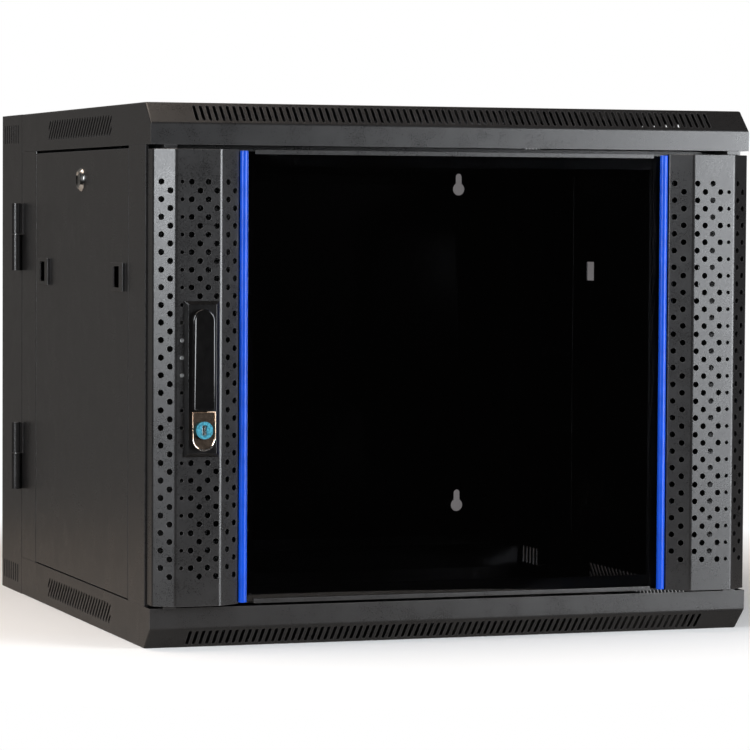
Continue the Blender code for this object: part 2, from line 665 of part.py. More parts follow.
def add_door(body, mats):
    spindle_hole = new_bmesh(circle((HANDLE_X, SPINDLE_Z), SPINDLE_R + LOCK_CLEARANCE), "Y",
                             FACE_Y - SHEET, FACE_Y + 2 * SHEET)
    for name, side in (("left", -1), ("right", 1)):
        strip = new_bmesh(folded(strip_path(), SHEET), "Z", DOOR_FOOT, DOOR_HEAD)
        trim = new_bmesh(trim_outline(), "Z", DOOR_FOOT + TRIM_END, DOOR_HEAD - TRIM_END)
        cutters = [spindle_hole] if side < 0 else []
        if side > 0:
            mirrored(strip, "X")
            mirrored(trim, "X")
        body.add("door_strip_" + name, strip, mats["powder"], cutters=cutters)
        body.add("door_trim_" + name, trim, mats["trim"])
    glass_end = SHEET + GAP
    body.add("door_glass", box_bmesh((-GLASS_HALF, GLASS_FRONT, DOOR_FOOT + glass_end),
                                     (GLASS_HALF, GLASS_FRONT + GLASS_T, DOOR_HEAD - glass_end)),
             mats["glass"])
    lip_front = GLASS_FRONT - GAP - SHEET
    leg_back = SEAT_Y + SHEET
    reach = STRIP_INNER - GLASS_SEAT - GAP
    path = [(lip_front, DOOR_FOOT + GLASS_LIP), (lip_front, DOOR_FOOT), (leg_back, DOOR_FOOT),
            (leg_back, DOOR_FOOT + GLASS_SEAT)]
    for name, top in (("bottom", False), ("top", True)):
        channel = new_bmesh(folded(path, SHEET), "X", -reach, reach)
        if top:
            mirrored(channel, "Z", (DOOR_FOOT + DOOR_HEAD) / 2)
        body.add("door_channel_" + name, channel, mats["powder"])
    add_door_pins(body, mats["zinc"])


def add_door_pins(body, material):
    """Pins at the door's right edge, each with the block that holds it in the strip."""
    outer = DOOR_SIDE - SHEET - GAP
    front = EDGE_Y + SHEET
    back = FRONT + DOOR_FLANGE - SHEET - GAP
    for name, top in (("bottom", False), ("top", True)):
        if top:
            block_low, pin_low = DOOR_HEAD - SHEET - PIN_BLOCK, DOOR_HEAD - PIN_BLOCK
            pin_high = POST_HEAD - GAP
        else:
            block_low, pin_low = DOOR_FOOT + SHEET, POST_FOOT + GAP
            pin_high = DOOR_FOOT + PIN_BLOCK
        block = box_bmesh((PIN_X - LUG_WIDTH / 2, front, block_low),
                          (outer, back, block_low + PIN_BLOCK))
        pin = new_bmesh(circle((PIN_X, PIN_Y), PIN_R), "Z", pin_low, pin_high)
        body.add("door_pin_" + name, block, material, joined=[pin])


# ---------------------------------------------------------------- swing handle

def lever_outline():
    """Lever seen from the front: round head, square foot."""
    half = LEVER_WIDTH / 2
    head = arc((HANDLE_X, SPINDLE_Z), half, 0, 180)
    return head + [(HANDLE_X - half, LEVER_FOOT), (HANDLE_X + half, LEVER_FOOT)]


def lock_plate_outline():
    """Lock plate seen from the front: square head, round foot."""
    half = LOCK_PLATE_WIDTH / 2
    foot = arc((HANDLE_X, LOCK_PLATE_FOOT + half), half, 180, 360)
    return foot + [(HANDLE_X + half, LOCK_PLATE_HEAD), (HANDLE_X - half, LOCK_PLATE_HEAD)]


def add_handle_base(door, mats):
    half = HANDLE_WIDTH / 2
    base = box_bmesh((HANDLE_X - half, BASE_FRONT, HANDLE_FOOT),
                     (HANDLE_X + half, FACE_Y - GAP, HANDLE_HEAD))
    spindle_bore = new_bmesh(circle((HANDLE_X, SPINDLE_Z), SPINDLE_R + LOCK_CLEARANCE), "Y",
                             BASE_FRONT - GAP, FACE_Y + GAP)
    key_bore = new_bmesh(circle((HANDLE_X, KEY_Z), KEY_PLUG_R + LOCK_CLEARANCE), "Y",
                         BASE_FRONT - GAP, FACE_Y + GAP)
    door.add("handle_base", base, mats["handle"], cutters=[merged(spindle_bore, key_bore)])
    middle = HANDLE_X - BRACKET_SHIFT
    head = HANDLE_HEAD - BRACKET_DROP
    front = FACE_Y + SHEET + GAP
    bracket = box_bmesh((middle - BRACKET_WIDTH / 2, front, head - BRACKET_HEIGHT),
                        (middle + BRACKET_WIDTH / 2, front + BRACKET_T, head))
    door.add("handle_bracket", bracket, mats["zinc"])
    plate = new_bmesh(lock_plate_outline(), "Y", LEVER_BACK - LOCK_PLATE_T, LEVER_BACK)
    plate_bore = new_bmesh(circle((HANDLE_X, KEY_Z), KEY_PLUG_R + LOCK_CLEARANCE), "Y",
                           LEVER_BACK - 2 * LOCK_PLATE_T, LEVER_BACK + GAP)
    door.add("lock_plate", plate, mats["chrome"], cutters=[plate_bore])


def add_key_plug(key, mats):
    front = LEVER_BACK - LOCK_PLATE_T
    plug = new_bmesh(circle((HANDLE_X, KEY_Z), KEY_PLUG_R), "Y", front, FACE_Y - 2 * GAP)
    slot = box_bmesh((HANDLE_X - KEY_SLOT_WIDTH / 2, front - KEY_CAP_T, KEY_Z - KEY_SLOT_HEIGHT / 2),
                     (HANDLE_X + KEY_SLOT_WIDTH / 2, front + LOCK_PLATE_T / 2,
                      KEY_Z + KEY_SLOT_HEIGHT / 2))
    key.add("key_plug", plug, mats["zinc"], cutters=[slot])
    cap_back = front - GAP
    cap = new_bmesh(circle((HANDLE_X, KEY_Z), KEY_CAP_R), "Y", cap_back - KEY_CAP_T, cap_back)
    window = box_bmesh((HANDLE_X - KEY_SLOT_WIDTH, cap_back - 2 * KEY_CAP_T,
                        KEY_Z - KEY_SLOT_HEIGHT / 2 - GAP),
                       (HANDLE_X + KEY_SLOT_WIDTH, cap_back + GAP, KEY_Z + KEY_SLOT_HEIGHT / 2 + GAP))
    key.add("key_cap", cap, mats["cap"], cutters=[window])


def add_spindle(body, mats):
    """Shaft that the lever turns, with the tongue that catches behind the post."""
    tongue_y = FRONT + TONGUE_SETBACK
    shaft = new_bmesh(circle((HANDLE_X, SPINDLE_Z), SPINDLE_R), "Y",
                      LEVER_BACK - GAP, tongue_y + 2 * TONGUE_T)
    half = SPINDLE_HEAD / 2
    head = box_bmesh((HANDLE_X - half, LEVER_BACK - SPINDLE_HEAD_T, SPINDLE_Z - half),
                     (HANDLE_X + half, LEVER_BACK, SPINDLE_Z + half))
    body.add("handle_spindle", shaft, mats["zinc"], joined=[head])
    tip = -POST_INNER + TONGUE_GAP
    tongue = box_bmesh((tip, tongue_y, SPINDLE_Z - TONGUE_WIDTH / 2),
                       (HANDLE_X + TONGUE_WIDTH / 2, tongue_y + TONGUE_T,
                        SPINDLE_Z + TONGUE_WIDTH / 2))
    bore = new_bmesh(circle((HANDLE_X, SPINDLE_Z), SPINDLE_R + GAP), "Y",
                     tongue_y - GAP, tongue_y + TONGUE_T + GAP)
    body.add("latch_tongue", tongue, mats["zinc"], cutters=[bore])


def add_lever(body, mats):
    front = LEVER_BACK - LEVER_T
    lever = new_bmesh(lever_outline(), "Y", front, LEVER_BACK)
    half = SPINDLE_R + 3 * GAP
    pocket = box_bmesh((HANDLE_X - half, LEVER_BACK - SPINDLE_HEAD_T - 2 * GAP,
                        SPINDLE_Z - half - LEVER_KNUCKLE),
                       (HANDLE_X + half, LEVER_BACK + GAP, SPINDLE_Z + half + GAP))
    heel = box_bmesh((HANDLE_X - LEVER_WIDTH, LEVER_BACK - LEVER_KNUCKLE, LEVER_TOP - LEVER_KNUCKLE),
                     (HANDLE_X + LEVER_WIDTH, LEVER_BACK + GAP, LEVER_TOP + GAP))
    body.add("handle_lever", lever, mats["handle"], cutters=[merged(pocket), heel])


# ---------------------------------------------------------------- assembly

def clear_scene():
    for obj in list(bpy.data.objects):
        bpy.data.objects.remove(obj)


def main():
    clear_scene()
    mats = make_materials()
    wall = Body("wall_section")
    main_body = Body("main_body", (HINGE_X, HINGE_Y, 0), wall)
    door = Body("front_door", (PIN_X, PIN_Y, 0), main_body)
    spindle = Body("handle_spindle", (HANDLE_X, BASE_FRONT, SPINDLE_Z), door)
    lever = Body("handle_lever", (HANDLE_X, LEVER_BACK - LEVER_KNUCKLE, LEVER_TOP - LEVER_KNUCKLE),
                 spindle)
    key = Body("door_key", (HANDLE_X, BASE_FRONT, KEY_Z), door)
    body_key = Body("body_key", (SIDE, BODY_LOCK_Y, BODY_LOCK_Z), main_body)

    add_wall_section(wall, mats["powder"])
    add_hinges(wall, main_body, mats["powder"], mats["zinc"])
    add_covers(main_body, mats["powder"])
    add_posts(main_body, mats["powder"])
    add_frame_rails(main_body, mats["powder"])
    add_rails(main_body, mats["powder"])
    add_depth_bars(main_body, mats["powder"])
    add_body_lock(main_body, body_key, mats["chrome"])
    for name, side in (("left", -1), ("right", 1)):
        panel = Body(name + "_panel", (side * SIDE, PANEL_LOCK_Y, 0), main_body)
        panel_key = Body(name + "_panel_key", (side * SIDE, PANEL_LOCK_Y, PANEL_LOCK_Z), panel)
        add_side_panel(panel, panel_key, name, side, mats["powder"], mats["chrome"])
    add_door(door, mats)
    add_handle_base(door, mats)
    add_key_plug(key, mats)
    add_spindle(spindle, mats)
    add_lever(lever, mats)


main()
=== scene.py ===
"""Looks of a swing-out wall cabinet: vented covers, perforated door strips, swing handle."""
import math

import bmesh
import bpy
from bpy.props import FloatProperty, FloatVectorProperty, IntProperty, PointerProperty
from mathutils import Matrix, Vector


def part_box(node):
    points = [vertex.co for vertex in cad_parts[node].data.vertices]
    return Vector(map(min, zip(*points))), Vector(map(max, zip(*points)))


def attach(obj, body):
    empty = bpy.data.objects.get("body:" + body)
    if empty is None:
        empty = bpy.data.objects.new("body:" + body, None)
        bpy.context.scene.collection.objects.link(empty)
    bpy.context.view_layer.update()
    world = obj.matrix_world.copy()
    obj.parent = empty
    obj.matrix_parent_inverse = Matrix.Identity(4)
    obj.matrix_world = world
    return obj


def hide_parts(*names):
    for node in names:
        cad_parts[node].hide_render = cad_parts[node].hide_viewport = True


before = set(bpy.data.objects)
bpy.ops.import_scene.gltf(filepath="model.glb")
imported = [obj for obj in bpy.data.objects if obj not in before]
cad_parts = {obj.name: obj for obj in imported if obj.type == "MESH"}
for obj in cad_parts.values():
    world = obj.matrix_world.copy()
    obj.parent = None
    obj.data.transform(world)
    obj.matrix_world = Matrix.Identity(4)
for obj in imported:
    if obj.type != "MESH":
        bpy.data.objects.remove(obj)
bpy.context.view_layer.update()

bl_info = {
    "name": "Swing-out Wall Cabinet",
    "version": (1, 0, 0),
    "blender": (4, 5, 0),
    "location": "3D View > Sidebar > Cabinet",
    "description": "Dresses a nine-unit wall cabinet with vents, holes, locks and finishes",
    "category": "Object",
}

COVER_LOW, COVER_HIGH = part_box("top_cover")
STRIP_LOW, STRIP_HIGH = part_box("door_strip_left")
WALL_LOW, WALL_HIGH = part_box("wall_side_left")
HALF = COVER_HIGH.x
MIDDLE_Z = COVER_HIGH.z / 2

# Rounding of finished edges, in metres
FINE_EDGE = 0.0003
FRAME_EDGE = 0.0004
PIN_EDGE = 0.0005
PANEL_EDGE = 0.0005
GLASS_EDGE = 0.0006
KNUCKLE_EDGE = 0.0006
OUTER_FOLD = 0.0011
PANEL_RIM = 0.0009


# ---------------------------------------------------------------- sizes and colours

def length(label, description, default):
    return FloatProperty(name=label, description=description, default=default,
                         subtype="DISTANCE", unit="LENGTH", precision=4)


def colour(label, description, default):
    return FloatVectorProperty(name=label, description=description, default=default,
                               subtype="COLOR", size=3, min=0.0, max=1.0)


class CabinetSheet(bpy.types.PropertyGroup):
    thickness: length("Sheet", "Thickness of covers, panels and strips", 0.0012)
    fold: length("Fold radius", "Outer radius of a right-angle fold", 0.0016)
    break_edge: length("Broken edge", "Rounding of cut sheet edges", 0.00025)
    nose_band: length("Nose band", "Height of the nose's upright band", 0.0195)
    nose_run: length("Nose run", "Depth of the nose's slope", 0.0205)


class CabinetVents(bpy.types.PropertyGroup):
    nose_count: IntProperty(name="Nose slots", description="Slots in each nose", default=81,
                            min=1)
    nose_pitch: length("Nose pitch", "Spacing of the nose's slots", 0.00643)
    nose_width: length("Nose slot width", "Width of a nose slot", 0.0033)
    nose_length: length("Nose slot length", "Length of a nose slot, down the slope", 0.0212)
    nose_middle: length("Nose field middle", "Middle of the slots, right of centre", 0.0025)
    side_pitch: length("Side pitch", "Spacing of the slanted side slots", 0.01009)
    side_width: length("Side slot width", "Width of a slanted slot along the cover", 0.0056)
    side_front: length("Side field front", "Front end of the slanted slots", -0.1590)
    side_rear: length("Side field rear", "Rear end of the slanted slots", 0.0925)
    side_edge: length("Side field edge", "Slanted slots' far end from the cover's face", 0.0094)
    side_height: length("Side field height", "Height of the slanted slots", 0.0194)
    wall_pitch: length("Wall pitch", "Spacing of the wall section's upright slots", 0.0101)
    wall_width: length("Wall slot width", "Width of an upright slot", 0.0044)


class CabinetHoles(bpy.types.PropertyGroup):
    pitch: length("Row pitch", "Spacing of the perforation's rows", 0.01612)
    rows: IntProperty(name="Rows", description="Rows of each kind in a strip", default=23,
                      min=1)
    top: length("First row", "First row below the strip's head", 0.0300)
    radius: length("Hole radius", "Radius of a hole", 0.00290)
    small_radius: length("Small hole radius", "Radius of the narrow column's holes", 0.00195)


class CabinetColours(bpy.types.PropertyGroup):
    powder: colour("Powder coat", "Charcoal powder coat", (0.0095, 0.0090, 0.0090))
    rail: colour("Rails", "Powder coat inside the cabinet", (0.009, 0.009, 0.010))
    enamel: colour("Handle", "Black enamel of the swing handle", (0.004, 0.0038, 0.0038))
    satin: colour("Handle base", "Satin black of the handle's base", (0.0045, 0.0042, 0.0042))
    trim: colour("Trim", "Blue plastic trims", (0.004, 0.055, 0.430))
    chrome: colour("Chrome", "Polished locks and lock plate", (0.80, 0.79, 0.77))
    zinc: colour("Zinc", "Zinc-plated pins, spindle and bracket", (0.62, 0.62, 0.61))
    # Lock plate colour: a warm brown tint that is a painted reflection of warm surroundings,
    # not the plate's own colour
    plate: colour("Lock plate", "Warm nickel of the lock plate", (0.60, 0.45, 0.34))
    bracket: colour("Bracket", "White zinc of the bracket behind the strip", (0.95, 0.96, 0.97))
    cap: colour("Key cap", "Pale blue key cap", (0.042, 0.185, 0.245))
    glass: colour("Glass", "Smoked glass", (0.13, 0.13, 0.14))


# ---------------------------------------------------------------- finishes

def linked(tree, kind, inputs=(), **settings):
    """New node with its settings, its input values and its links."""
    node = tree.nodes.new(kind)
    for key, value in settings.items():
        setattr(node, key, value)
    for key, value in dict(inputs).items():
        if isinstance(value, bpy.types.NodeSocket):
            tree.links.new(value, node.inputs[key])
        else:
            node.inputs[key].default_value = value
    return node


def blank_finish(name, **values):
    """New material, its node tree, its shader and its object coordinates."""
    material = bpy.data.materials.new(name)
    material.use_nodes = True
    tree = material.node_tree
    shader = tree.nodes["Principled BSDF"]
    for key, value in values.items():
        shader.inputs[key.replace("_", " ")].default_value = value
    place = tree.nodes.new("ShaderNodeTexCoord").outputs["Object"]
    return material, tree, shader, place


def noise(tree, place, scale, detail=2.0, roughness=0.5):
    node = linked(tree, "ShaderNodeTexNoise", {"Vector": place, "Scale": scale,
                                               "Detail": detail, "Roughness": roughness})
    return node.outputs["Fac"]


def ramp(tree, value, low, high, from_low=0.0, from_high=1.0):
    """Value remapped from one range to another."""
    node = linked(tree, "ShaderNodeMapRange", {"Value": value, "To Min": low, "To Max": high,
                                               "From Min": from_low, "From Max": from_high})
    return node.outputs["Result"]


def blended(tree, factor, first, second):
    """Mix of two colours."""
    node = linked(tree, "ShaderNodeMix", data_type="RGBA")
    for key, value in (("Factor", factor), ("A", first), ("B", second)):
        socket = next(s for s in node.inputs if s.name == key and s.type in ("VALUE", "RGBA")
                      and (s.type == "RGBA") == (key != "Factor"))
        if isinstance(value, bpy.types.NodeSocket):
            tree.links.new(value, socket)
        else:
            socket.default_value = value
    return next(s for s in node.outputs if s.type == "RGBA")


def edge_wear(tree, radius):
    """1 along sharp edges, 0 on flats."""
    bevel = linked(tree, "ShaderNodeBevel", {"Radius": radius}, samples=4).outputs["Normal"]
    normal = tree.nodes.new("ShaderNodeNewGeometry").outputs["Normal"]
    dot = linked(tree, "ShaderNodeVectorMath", operation="DOT_PRODUCT")
    tree.links.new(bevel, dot.inputs[0])
    tree.links.new(normal, dot.inputs[1])
    return ramp(tree, dot.outputs["Value"], 1.0, 0.0, 0.90, 0.998)


def bumped(tree, shader, height, distance, strength):
    bump = linked(tree, "ShaderNodeBump", {"Height": height, "Distance": distance,
                                           "Strength": strength})
    tree.links.new(bump.outputs["Normal"], shader.inputs["Normal"])


def scaled(value, factor):
    """Colour made lighter or darker, with its alpha."""
    return tuple(min(1.0, channel * factor) for channel in value) + (1.0,)


def powder_coat(name, base, roughness=0.31):
    """Fine-textured powder coat: pebbled surface, faint mottling, thin bright edges."""
    material, tree, shader, place = blank_finish(name, Metallic=0.0, IOR=1.52)
    mottle = noise(tree, place, 38.0, 4.0, 0.6)
    grain = noise(tree, place, 880.0, 2.0, 0.6)
    tone = blended(tree, ramp(tree, mottle, 0.0, 1.0, 0.32, 0.68), scaled(base, 0.88),
                   scaled(base, 1.10))
    fleck = blended(tree, ramp(tree, grain, 0.0, 0.55, 0.50, 0.74), tone, scaled(base, 1.9))
    wear = ramp(tree, edge_wear(tree, 0.0007), 0.0, 0.80)
    worn = blended(tree, wear, fleck, scaled(base, 7.5))
    tree.links.new(worn, shader.inputs["Base Color"])
    rough = linked(tree, "ShaderNodeMath", operation="ADD")
    pebbled = ramp(tree, grain, roughness - 0.05, roughness + 0.05, 0.3, 0.7)
    tree.links.new(pebbled, rough.inputs[0])
    tree.links.new(ramp(tree, mottle, -0.03, 0.03, 0.3, 0.7), rough.inputs[1])
    tree.links.new(rough.outputs["Value"], shader.inputs["Roughness"])
    bumped(tree, shader, grain, 0.00010, 0.28)
    return material


def enamel(name, base, roughness=0.11):
    """Smooth stoved enamel with a soft orange peel and handling marks."""
    material, tree, shader, place = blank_finish(name, Metallic=0.0, IOR=1.5)
    smear = noise(tree, place, 90.0, 5.0, 0.65)
    tone = blended(tree, ramp(tree, smear, 0.0, 1.0, 0.35, 0.7), scaled(base, 0.9),
                   scaled(base, 1.25))
    wear = ramp(tree, edge_wear(tree, 0.0004), 0.0, 0.25)
    worn = blended(tree, wear, tone, scaled(base, 4.0))
    tree.links.new(worn, shader.inputs["Base Color"])
    tree.links.new(ramp(tree, smear, roughness, roughness + 0.05, 0.3, 0.7),
                   shader.inputs["Roughness"])
    bumped(tree, shader, noise(tree, place, 260.0, 2.0), 0.00003, 0.15)
    return material


def plated(name, base, roughness, marks=0.08):
    """Plated metal with polishing marks and small stains."""
    material, tree, shader, place = blank_finish(name, Metallic=1.0)
    stain = noise(tree, place, 160.0, 4.0, 0.6)
    tone = blended(tree, ramp(tree, stain, 0.0, 1.0, 0.35, 0.75), scaled(base, 1.0),
                   scaled(base, 0.80))
    tree.links.new(tone, shader.inputs["Base Color"])
    tree.links.new(ramp(tree, stain, roughness, roughness + marks, 0.35, 0.7),
                   shader.inputs["Roughness"])
    bumped(tree, shader, noise(tree, place, 900.0, 3.0), 0.00003, 0.30)
    return material


def gloss_plastic(name, base):
    """Extruded plastic trim: smooth, with faint die lines along its length."""
    material, tree, shader, place = blank_finish(name, Metallic=0.0, IOR=1.49)
    shader.inputs["Specular IOR Level"].default_value = 0.28
    stretched = linked(tree, "ShaderNodeMapping", {"Vector": place,
                                                   "Scale": (1.0, 1.0, 0.02)})
    lines = noise(tree, stretched.outputs["Vector"], 1500.0, 2.0)
    tone = blended(tree, ramp(tree, noise(tree, place, 60.0, 3.0), 0.0, 1.0, 0.3, 0.7),
                   scaled(base, 0.95), scaled(base, 1.22))
    tree.links.new(tone, shader.inputs["Base Color"])
    tree.links.new(ramp(tree, lines, 0.26, 0.31, 0.3, 0.7), shader.inputs["Roughness"])
    bumped(tree, shader, lines, 0.00002, 0.05)
    return material


def clear_plastic(name, base):
    """Milky translucent key cap with cloudy moulding swirls."""
    material, tree, shader, place = blank_finish(name, Metallic=0.0, IOR=1.46)
    shader.inputs["Subsurface Weight"].default_value = 0.35
    shader.inputs["Subsurface Radius"].default_value = (0.0012, 0.0020, 0.0024)
    shader.inputs["Coat Weight"].default_value = 0.6
    shader.inputs["Coat Roughness"].default_value = 0.05
    cloud = noise(tree, place, 520.0, 4.0, 0.65)
    tone = blended(tree, ramp(tree, cloud, 0.0, 1.0, 0.40, 0.62), scaled(base, 0.75),
                   scaled(base, 1.9))
    tree.links.new(tone, shader.inputs["Base Color"])
    tree.links.new(ramp(tree, cloud, 0.10, 0.22, 0.3, 0.7), shader.inputs["Roughness"])
    bumped(tree, shader, cloud, 0.00008, 0.5)
    return material


def smoked_glass(name, base):
    """Dark toughened glass with a trace of dust."""
    material, tree, shader, place = blank_finish(name, Metallic=0.0, IOR=1.50)
    shader.inputs["Transmission Weight"].default_value = 1.0
    dust = noise(tree, place, 24.0, 6.0, 0.7)
    tone = blended(tree, ramp(tree, dust, 0.0, 1.0, 0.35, 0.75), scaled(base, 1.0),
                   scaled(base, 1.25))
    tree.links.new(tone, shader.inputs["Base Color"])
    tree.links.new(ramp(tree, dust, 0.0, 0.035, 0.45, 0.8), shader.inputs["Roughness"])
    return material


FINISHES = {}


def mix_finishes(colours):
    """Makes every finish from the chosen colours."""
    FINISHES.update({
        "powder": powder_coat("charcoal_powder_coat", colours.powder),
        "rail": powder_coat("inner_powder_coat", colours.rail, 0.33),
        "enamel": enamel("black_enamel", colours.enamel),
        "trim": gloss_plastic("blue_trim_plastic", colours.trim),
        "chrome": plated("polished_chrome", colours.chrome, 0.10),
        "zinc": plated("bright_zinc", colours.zinc, 0.24, 0.16),
        "satin": enamel("satin_black_enamel", colours.satin, 0.21),
        # Lock plate finish: its warm brown colour is a painted brown reflection
        "plate": plated("nickel_painted_brown_reflection", colours.plate, 0.16, 0.06),
        "bracket": plated("white_zinc", colours.bracket, 0.42, 0.10),
        "key_cap": clear_plastic("pale_blue_key_cap", colours.cap),
        "glass": smoked_glass("smoked_glass", colours.glass),
    })


# ---------------------------------------------------------------- shaping

def verts_of(geom):
    return [item for item in geom if isinstance(item, bmesh.types.BMVert)]


def placed(point, axis, level):
    """Point of a flat drawing, at a level along the axis that the drawing faces."""
    u, v = point
    return Vector({"X": (level, u, v), "Y": (u, level, v), "Z": (u, v, level)}[axis])


def prism(outline, axis, low, high):
    """Closed solid: an outline extruded along an axis."""
    bm = bmesh.new()
    face = bm.faces.new([bm.verts.new(placed(point, axis, low)) for point in outline])
    grown = bmesh.ops.extrude_face_region(bm, geom=[face])["geom"]
    shift = placed((0, 0), axis, high - low)
    bmesh.ops.translate(bm, verts=verts_of(grown), vec=shift)
    bmesh.ops.recalc_face_normals(bm, faces=bm.faces)
    return bm


def block(low, high):
    return prism([(low[0], low[1]), (high[0], low[1]), (high[0], high[1]), (low[0], high[1])],
                 "Z", low[2], high[2])


def folded_sheet(path, axis, low, high, fold, segments=4):
    """Open sheet along a path, with rounded folds. Its outer face is on the path's right."""
    bm = bmesh.new()
    verts = [bm.verts.new(placed(point, axis, low)) for point in path]
    edges = [bm.edges.new(pair) for pair in zip(verts, verts[1:])]
    grown = bmesh.ops.extrude_edge_only(bm, edges=edges)["geom"]
    bmesh.ops.translate(bm, verts=verts_of(grown), vec=placed((0, 0), axis, high - low))
    bmesh.ops.recalc_face_normals(bm, faces=bm.faces)
    first, second = Vector(path[0]), Vector(path[1])
    along = second - first
    outward = placed((along.y, -along.x), axis, 0.0)
    bm.normal_update()
    bm.faces.ensure_lookup_table()
    middle = placed((first + second) / 2, axis, (low + high) / 2)
    sample = min(bm.faces, key=lambda face: (face.calc_center_median() - middle).length)
    if sample.normal.dot(outward) < 0:
        bmesh.ops.reverse_faces(bm, faces=bm.faces)
    folds = [edge for edge in bm.edges if len(edge.link_faces) == 2]
    rounded(bm, folds, fold, segments)
    return bm


def rounded(bm, edges, radius, segments=3):
    """Bevels edges to a round."""
    bmesh.ops.bevel(bm, geom=list(edges), offset=radius, offset_type="OFFSET",
                    segments=segments, profile=0.5, affect="EDGES", material=-1,
                    clamp_overlap=True)
    return bm


def sharp_edges(bm, angle=30.0):
    """Edges whose faces meet at more than an angle in degrees."""
    bm.normal_update()
    return [edge for edge in bm.edges if len(edge.link_faces) == 2
            and edge.calc_face_angle(0.0) > math.radians(angle)]


def mirrored(bm, axis, centre=0.0):
    """The same shape mirrored across a plane, faces still outwards."""
    index = "XYZ".index(axis)
    scale = [1.0, 1.0, 1.0]
    scale[index] = -1.0
    shift = [0.0, 0.0, 0.0]
    shift[index] = 2 * centre
    bmesh.ops.scale(bm, verts=bm.verts, vec=scale)
    bmesh.ops.translate(bm, verts=bm.verts, vec=shift)
    bmesh.ops.reverse_faces(bm, faces=bm.faces)
    return bm


def joined(*meshes):
    """One bmesh with the islands of several."""
    whole = bmesh.new()
    for part in meshes:
        scratch = bpy.data.meshes.new("scratch")
        part.to_mesh(scratch)
        part.free()
        whole.from_mesh(scratch)
        bpy.data.meshes.remove(scratch)
    return whole


def lathed(outline, centre, steps=48):
    """Closed ring turned round the X axis through a centre, from (radius, level) points."""
    bm = bmesh.new()
    verts = [bm.verts.new(Vector(centre) + Vector((level, radius, 0)))
             for radius, level in outline]
    edges = [bm.edges.new(pair) for pair in zip(verts, verts[1:])]
    bmesh.ops.spin(bm, geom=verts + edges, cent=centre, axis=(1, 0, 0), angle=math.tau,
                   steps=steps, use_merge=True)
    bmesh.ops.remove_doubles(bm, verts=bm.verts, dist=1e-6)
    bmesh.ops.recalc_face_normals(bm, faces=bm.faces)
    return bm


def cad_copy(node):
    """Merged copy of a CAD node's shape, with its flats made whole."""
    bm = bmesh.new()
    bm.from_mesh(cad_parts[node].data)
    bmesh.ops.remove_doubles(bm, verts=bm.verts, dist=1e-5)
    bmesh.ops.dissolve_limit(bm, angle_limit=math.radians(1), verts=bm.verts, edges=bm.edges)
    return bm


def raw_object(name, bm):
    """Object with a bmesh's shape, still without a finish or a body."""
    mesh = bpy.data.meshes.new(name)
    bm.to_mesh(mesh)
    bm.free()
    obj = bpy.data.objects.new(name, mesh)
    bpy.context.scene.collection.objects.link(obj)
    return obj


def settle(obj):
    """Applies an object's modifiers to its mesh."""
    bpy.context.view_layer.update()
    shape = obj.evaluated_get(bpy.context.evaluated_depsgraph_get())
    mesh = bpy.data.meshes.new_from_object(shape)
    old = obj.data
    obj.modifiers.clear()
    obj.data = mesh
    bpy.data.meshes.remove(old)


def break_edges(obj, width):
    """Narrow chamfer on the sharp cut edges of a sheet."""
    bevel = obj.modifiers.new("edges", "BEVEL")
    bevel.width, bevel.segments, bevel.profile = width, 1, 0.5
    bevel.limit_method, bevel.angle_limit = "ANGLE", math.radians(60)
    settle(obj)


def thicken(obj, thickness, edge):
    """Gives a sheet its thickness behind its outer face, and breaks its cut edges."""
    solid = obj.modifiers.new("thickness", "SOLIDIFY")
    solid.thickness, solid.offset = thickness, -1.0
    solid.use_even_offset = True
    solid.use_quality_normals = True
    break_edges(obj, edge)


def punch(obj, cutter):
    """Cuts a bmesh of closed shapes out of an object."""
    tool = raw_object("punch", cutter)
    boolean = obj.modifiers.new("punch", "BOOLEAN")
    boolean.operation, boolean.solver, boolean.object = "DIFFERENCE", "EXACT", tool
    settle(obj)
    bpy.data.objects.remove(tool)


def dress(obj, body, finish, replaces=(), angle=32.0):
    """Shades a finished piece, gives it its finish and hangs it on its body."""
    obj.data.materials.clear()
    obj.data.materials.append(FINISHES[finish])
    obj.data.shade_smooth()
    obj.data.set_sharp_from_angle(angle=math.radians(angle))
    weighted = obj.modifiers.new("weighted_normals", "WEIGHTED_NORMAL")
    weighted.keep_sharp = True
    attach(obj, body)
    if replaces:
        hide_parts(*replaces)
    return obj


def piece(name, bm, body, finish, replaces=(), angle=32.0):
    """Finished piece from a bmesh."""
    return dress(raw_object(name, bm), body, finish, replaces, angle)


def outer_folds(bm):
    """Long upright edges on the cabinet's sides."""
    return [edge for edge in sharp_edges(bm) if edge.calc_length() > 0.1
            and all(abs(v.co.x) > HALF - 1e-4 for v in edge.verts)
            and abs(edge.verts[0].co.y - edge.verts[1].co.y) < 1e-5]


def softened(node, body, finish, edge=FINE_EDGE, segments=2, cutter=None):
    """Stands for a CAD node with the same shape, its edges slightly rounded."""
    bm = cad_copy(node)
    folds = outer_folds(bm)
    if folds:
        rounded(bm, folds, OUTER_FOLD, 3)
    if "side_panel" in node:
        reach = max(abs(v.co.x) for v in bm.verts)
        rim = [sharp for sharp in sharp_edges(bm)
               if all(abs(v.co.x) > reach - 1e-5 for v in sharp.verts)]
        rounded(bm, rim, PANEL_RIM, 3)
    rounded(bm, sharp_edges(bm), edge, segments)
    obj = raw_object(node + "_finished", bm)
    if cutter:
        punch(obj, cutter)
    return dress(obj, body, finish, (node,))


def slot_outline(centre, half_length, radius, direction, steps=5):
    """Outline of a round-ended slot about a centre, along a unit direction."""
    along = Vector(direction)
    across = Vector((-along.y, along.x))
    points = []
    for end, start in ((1, -90), (-1, 90)):
        for i in range(steps + 1):
            angle = math.radians(start + 180 * i / steps)
            points.append(Vector(centre) + along * (end * (half_length - radius))
                          + along * (radius * math.cos(angle))
                          + across * (radius * math.sin(angle)))
    return points


# ---------------------------------------------------------------- stage

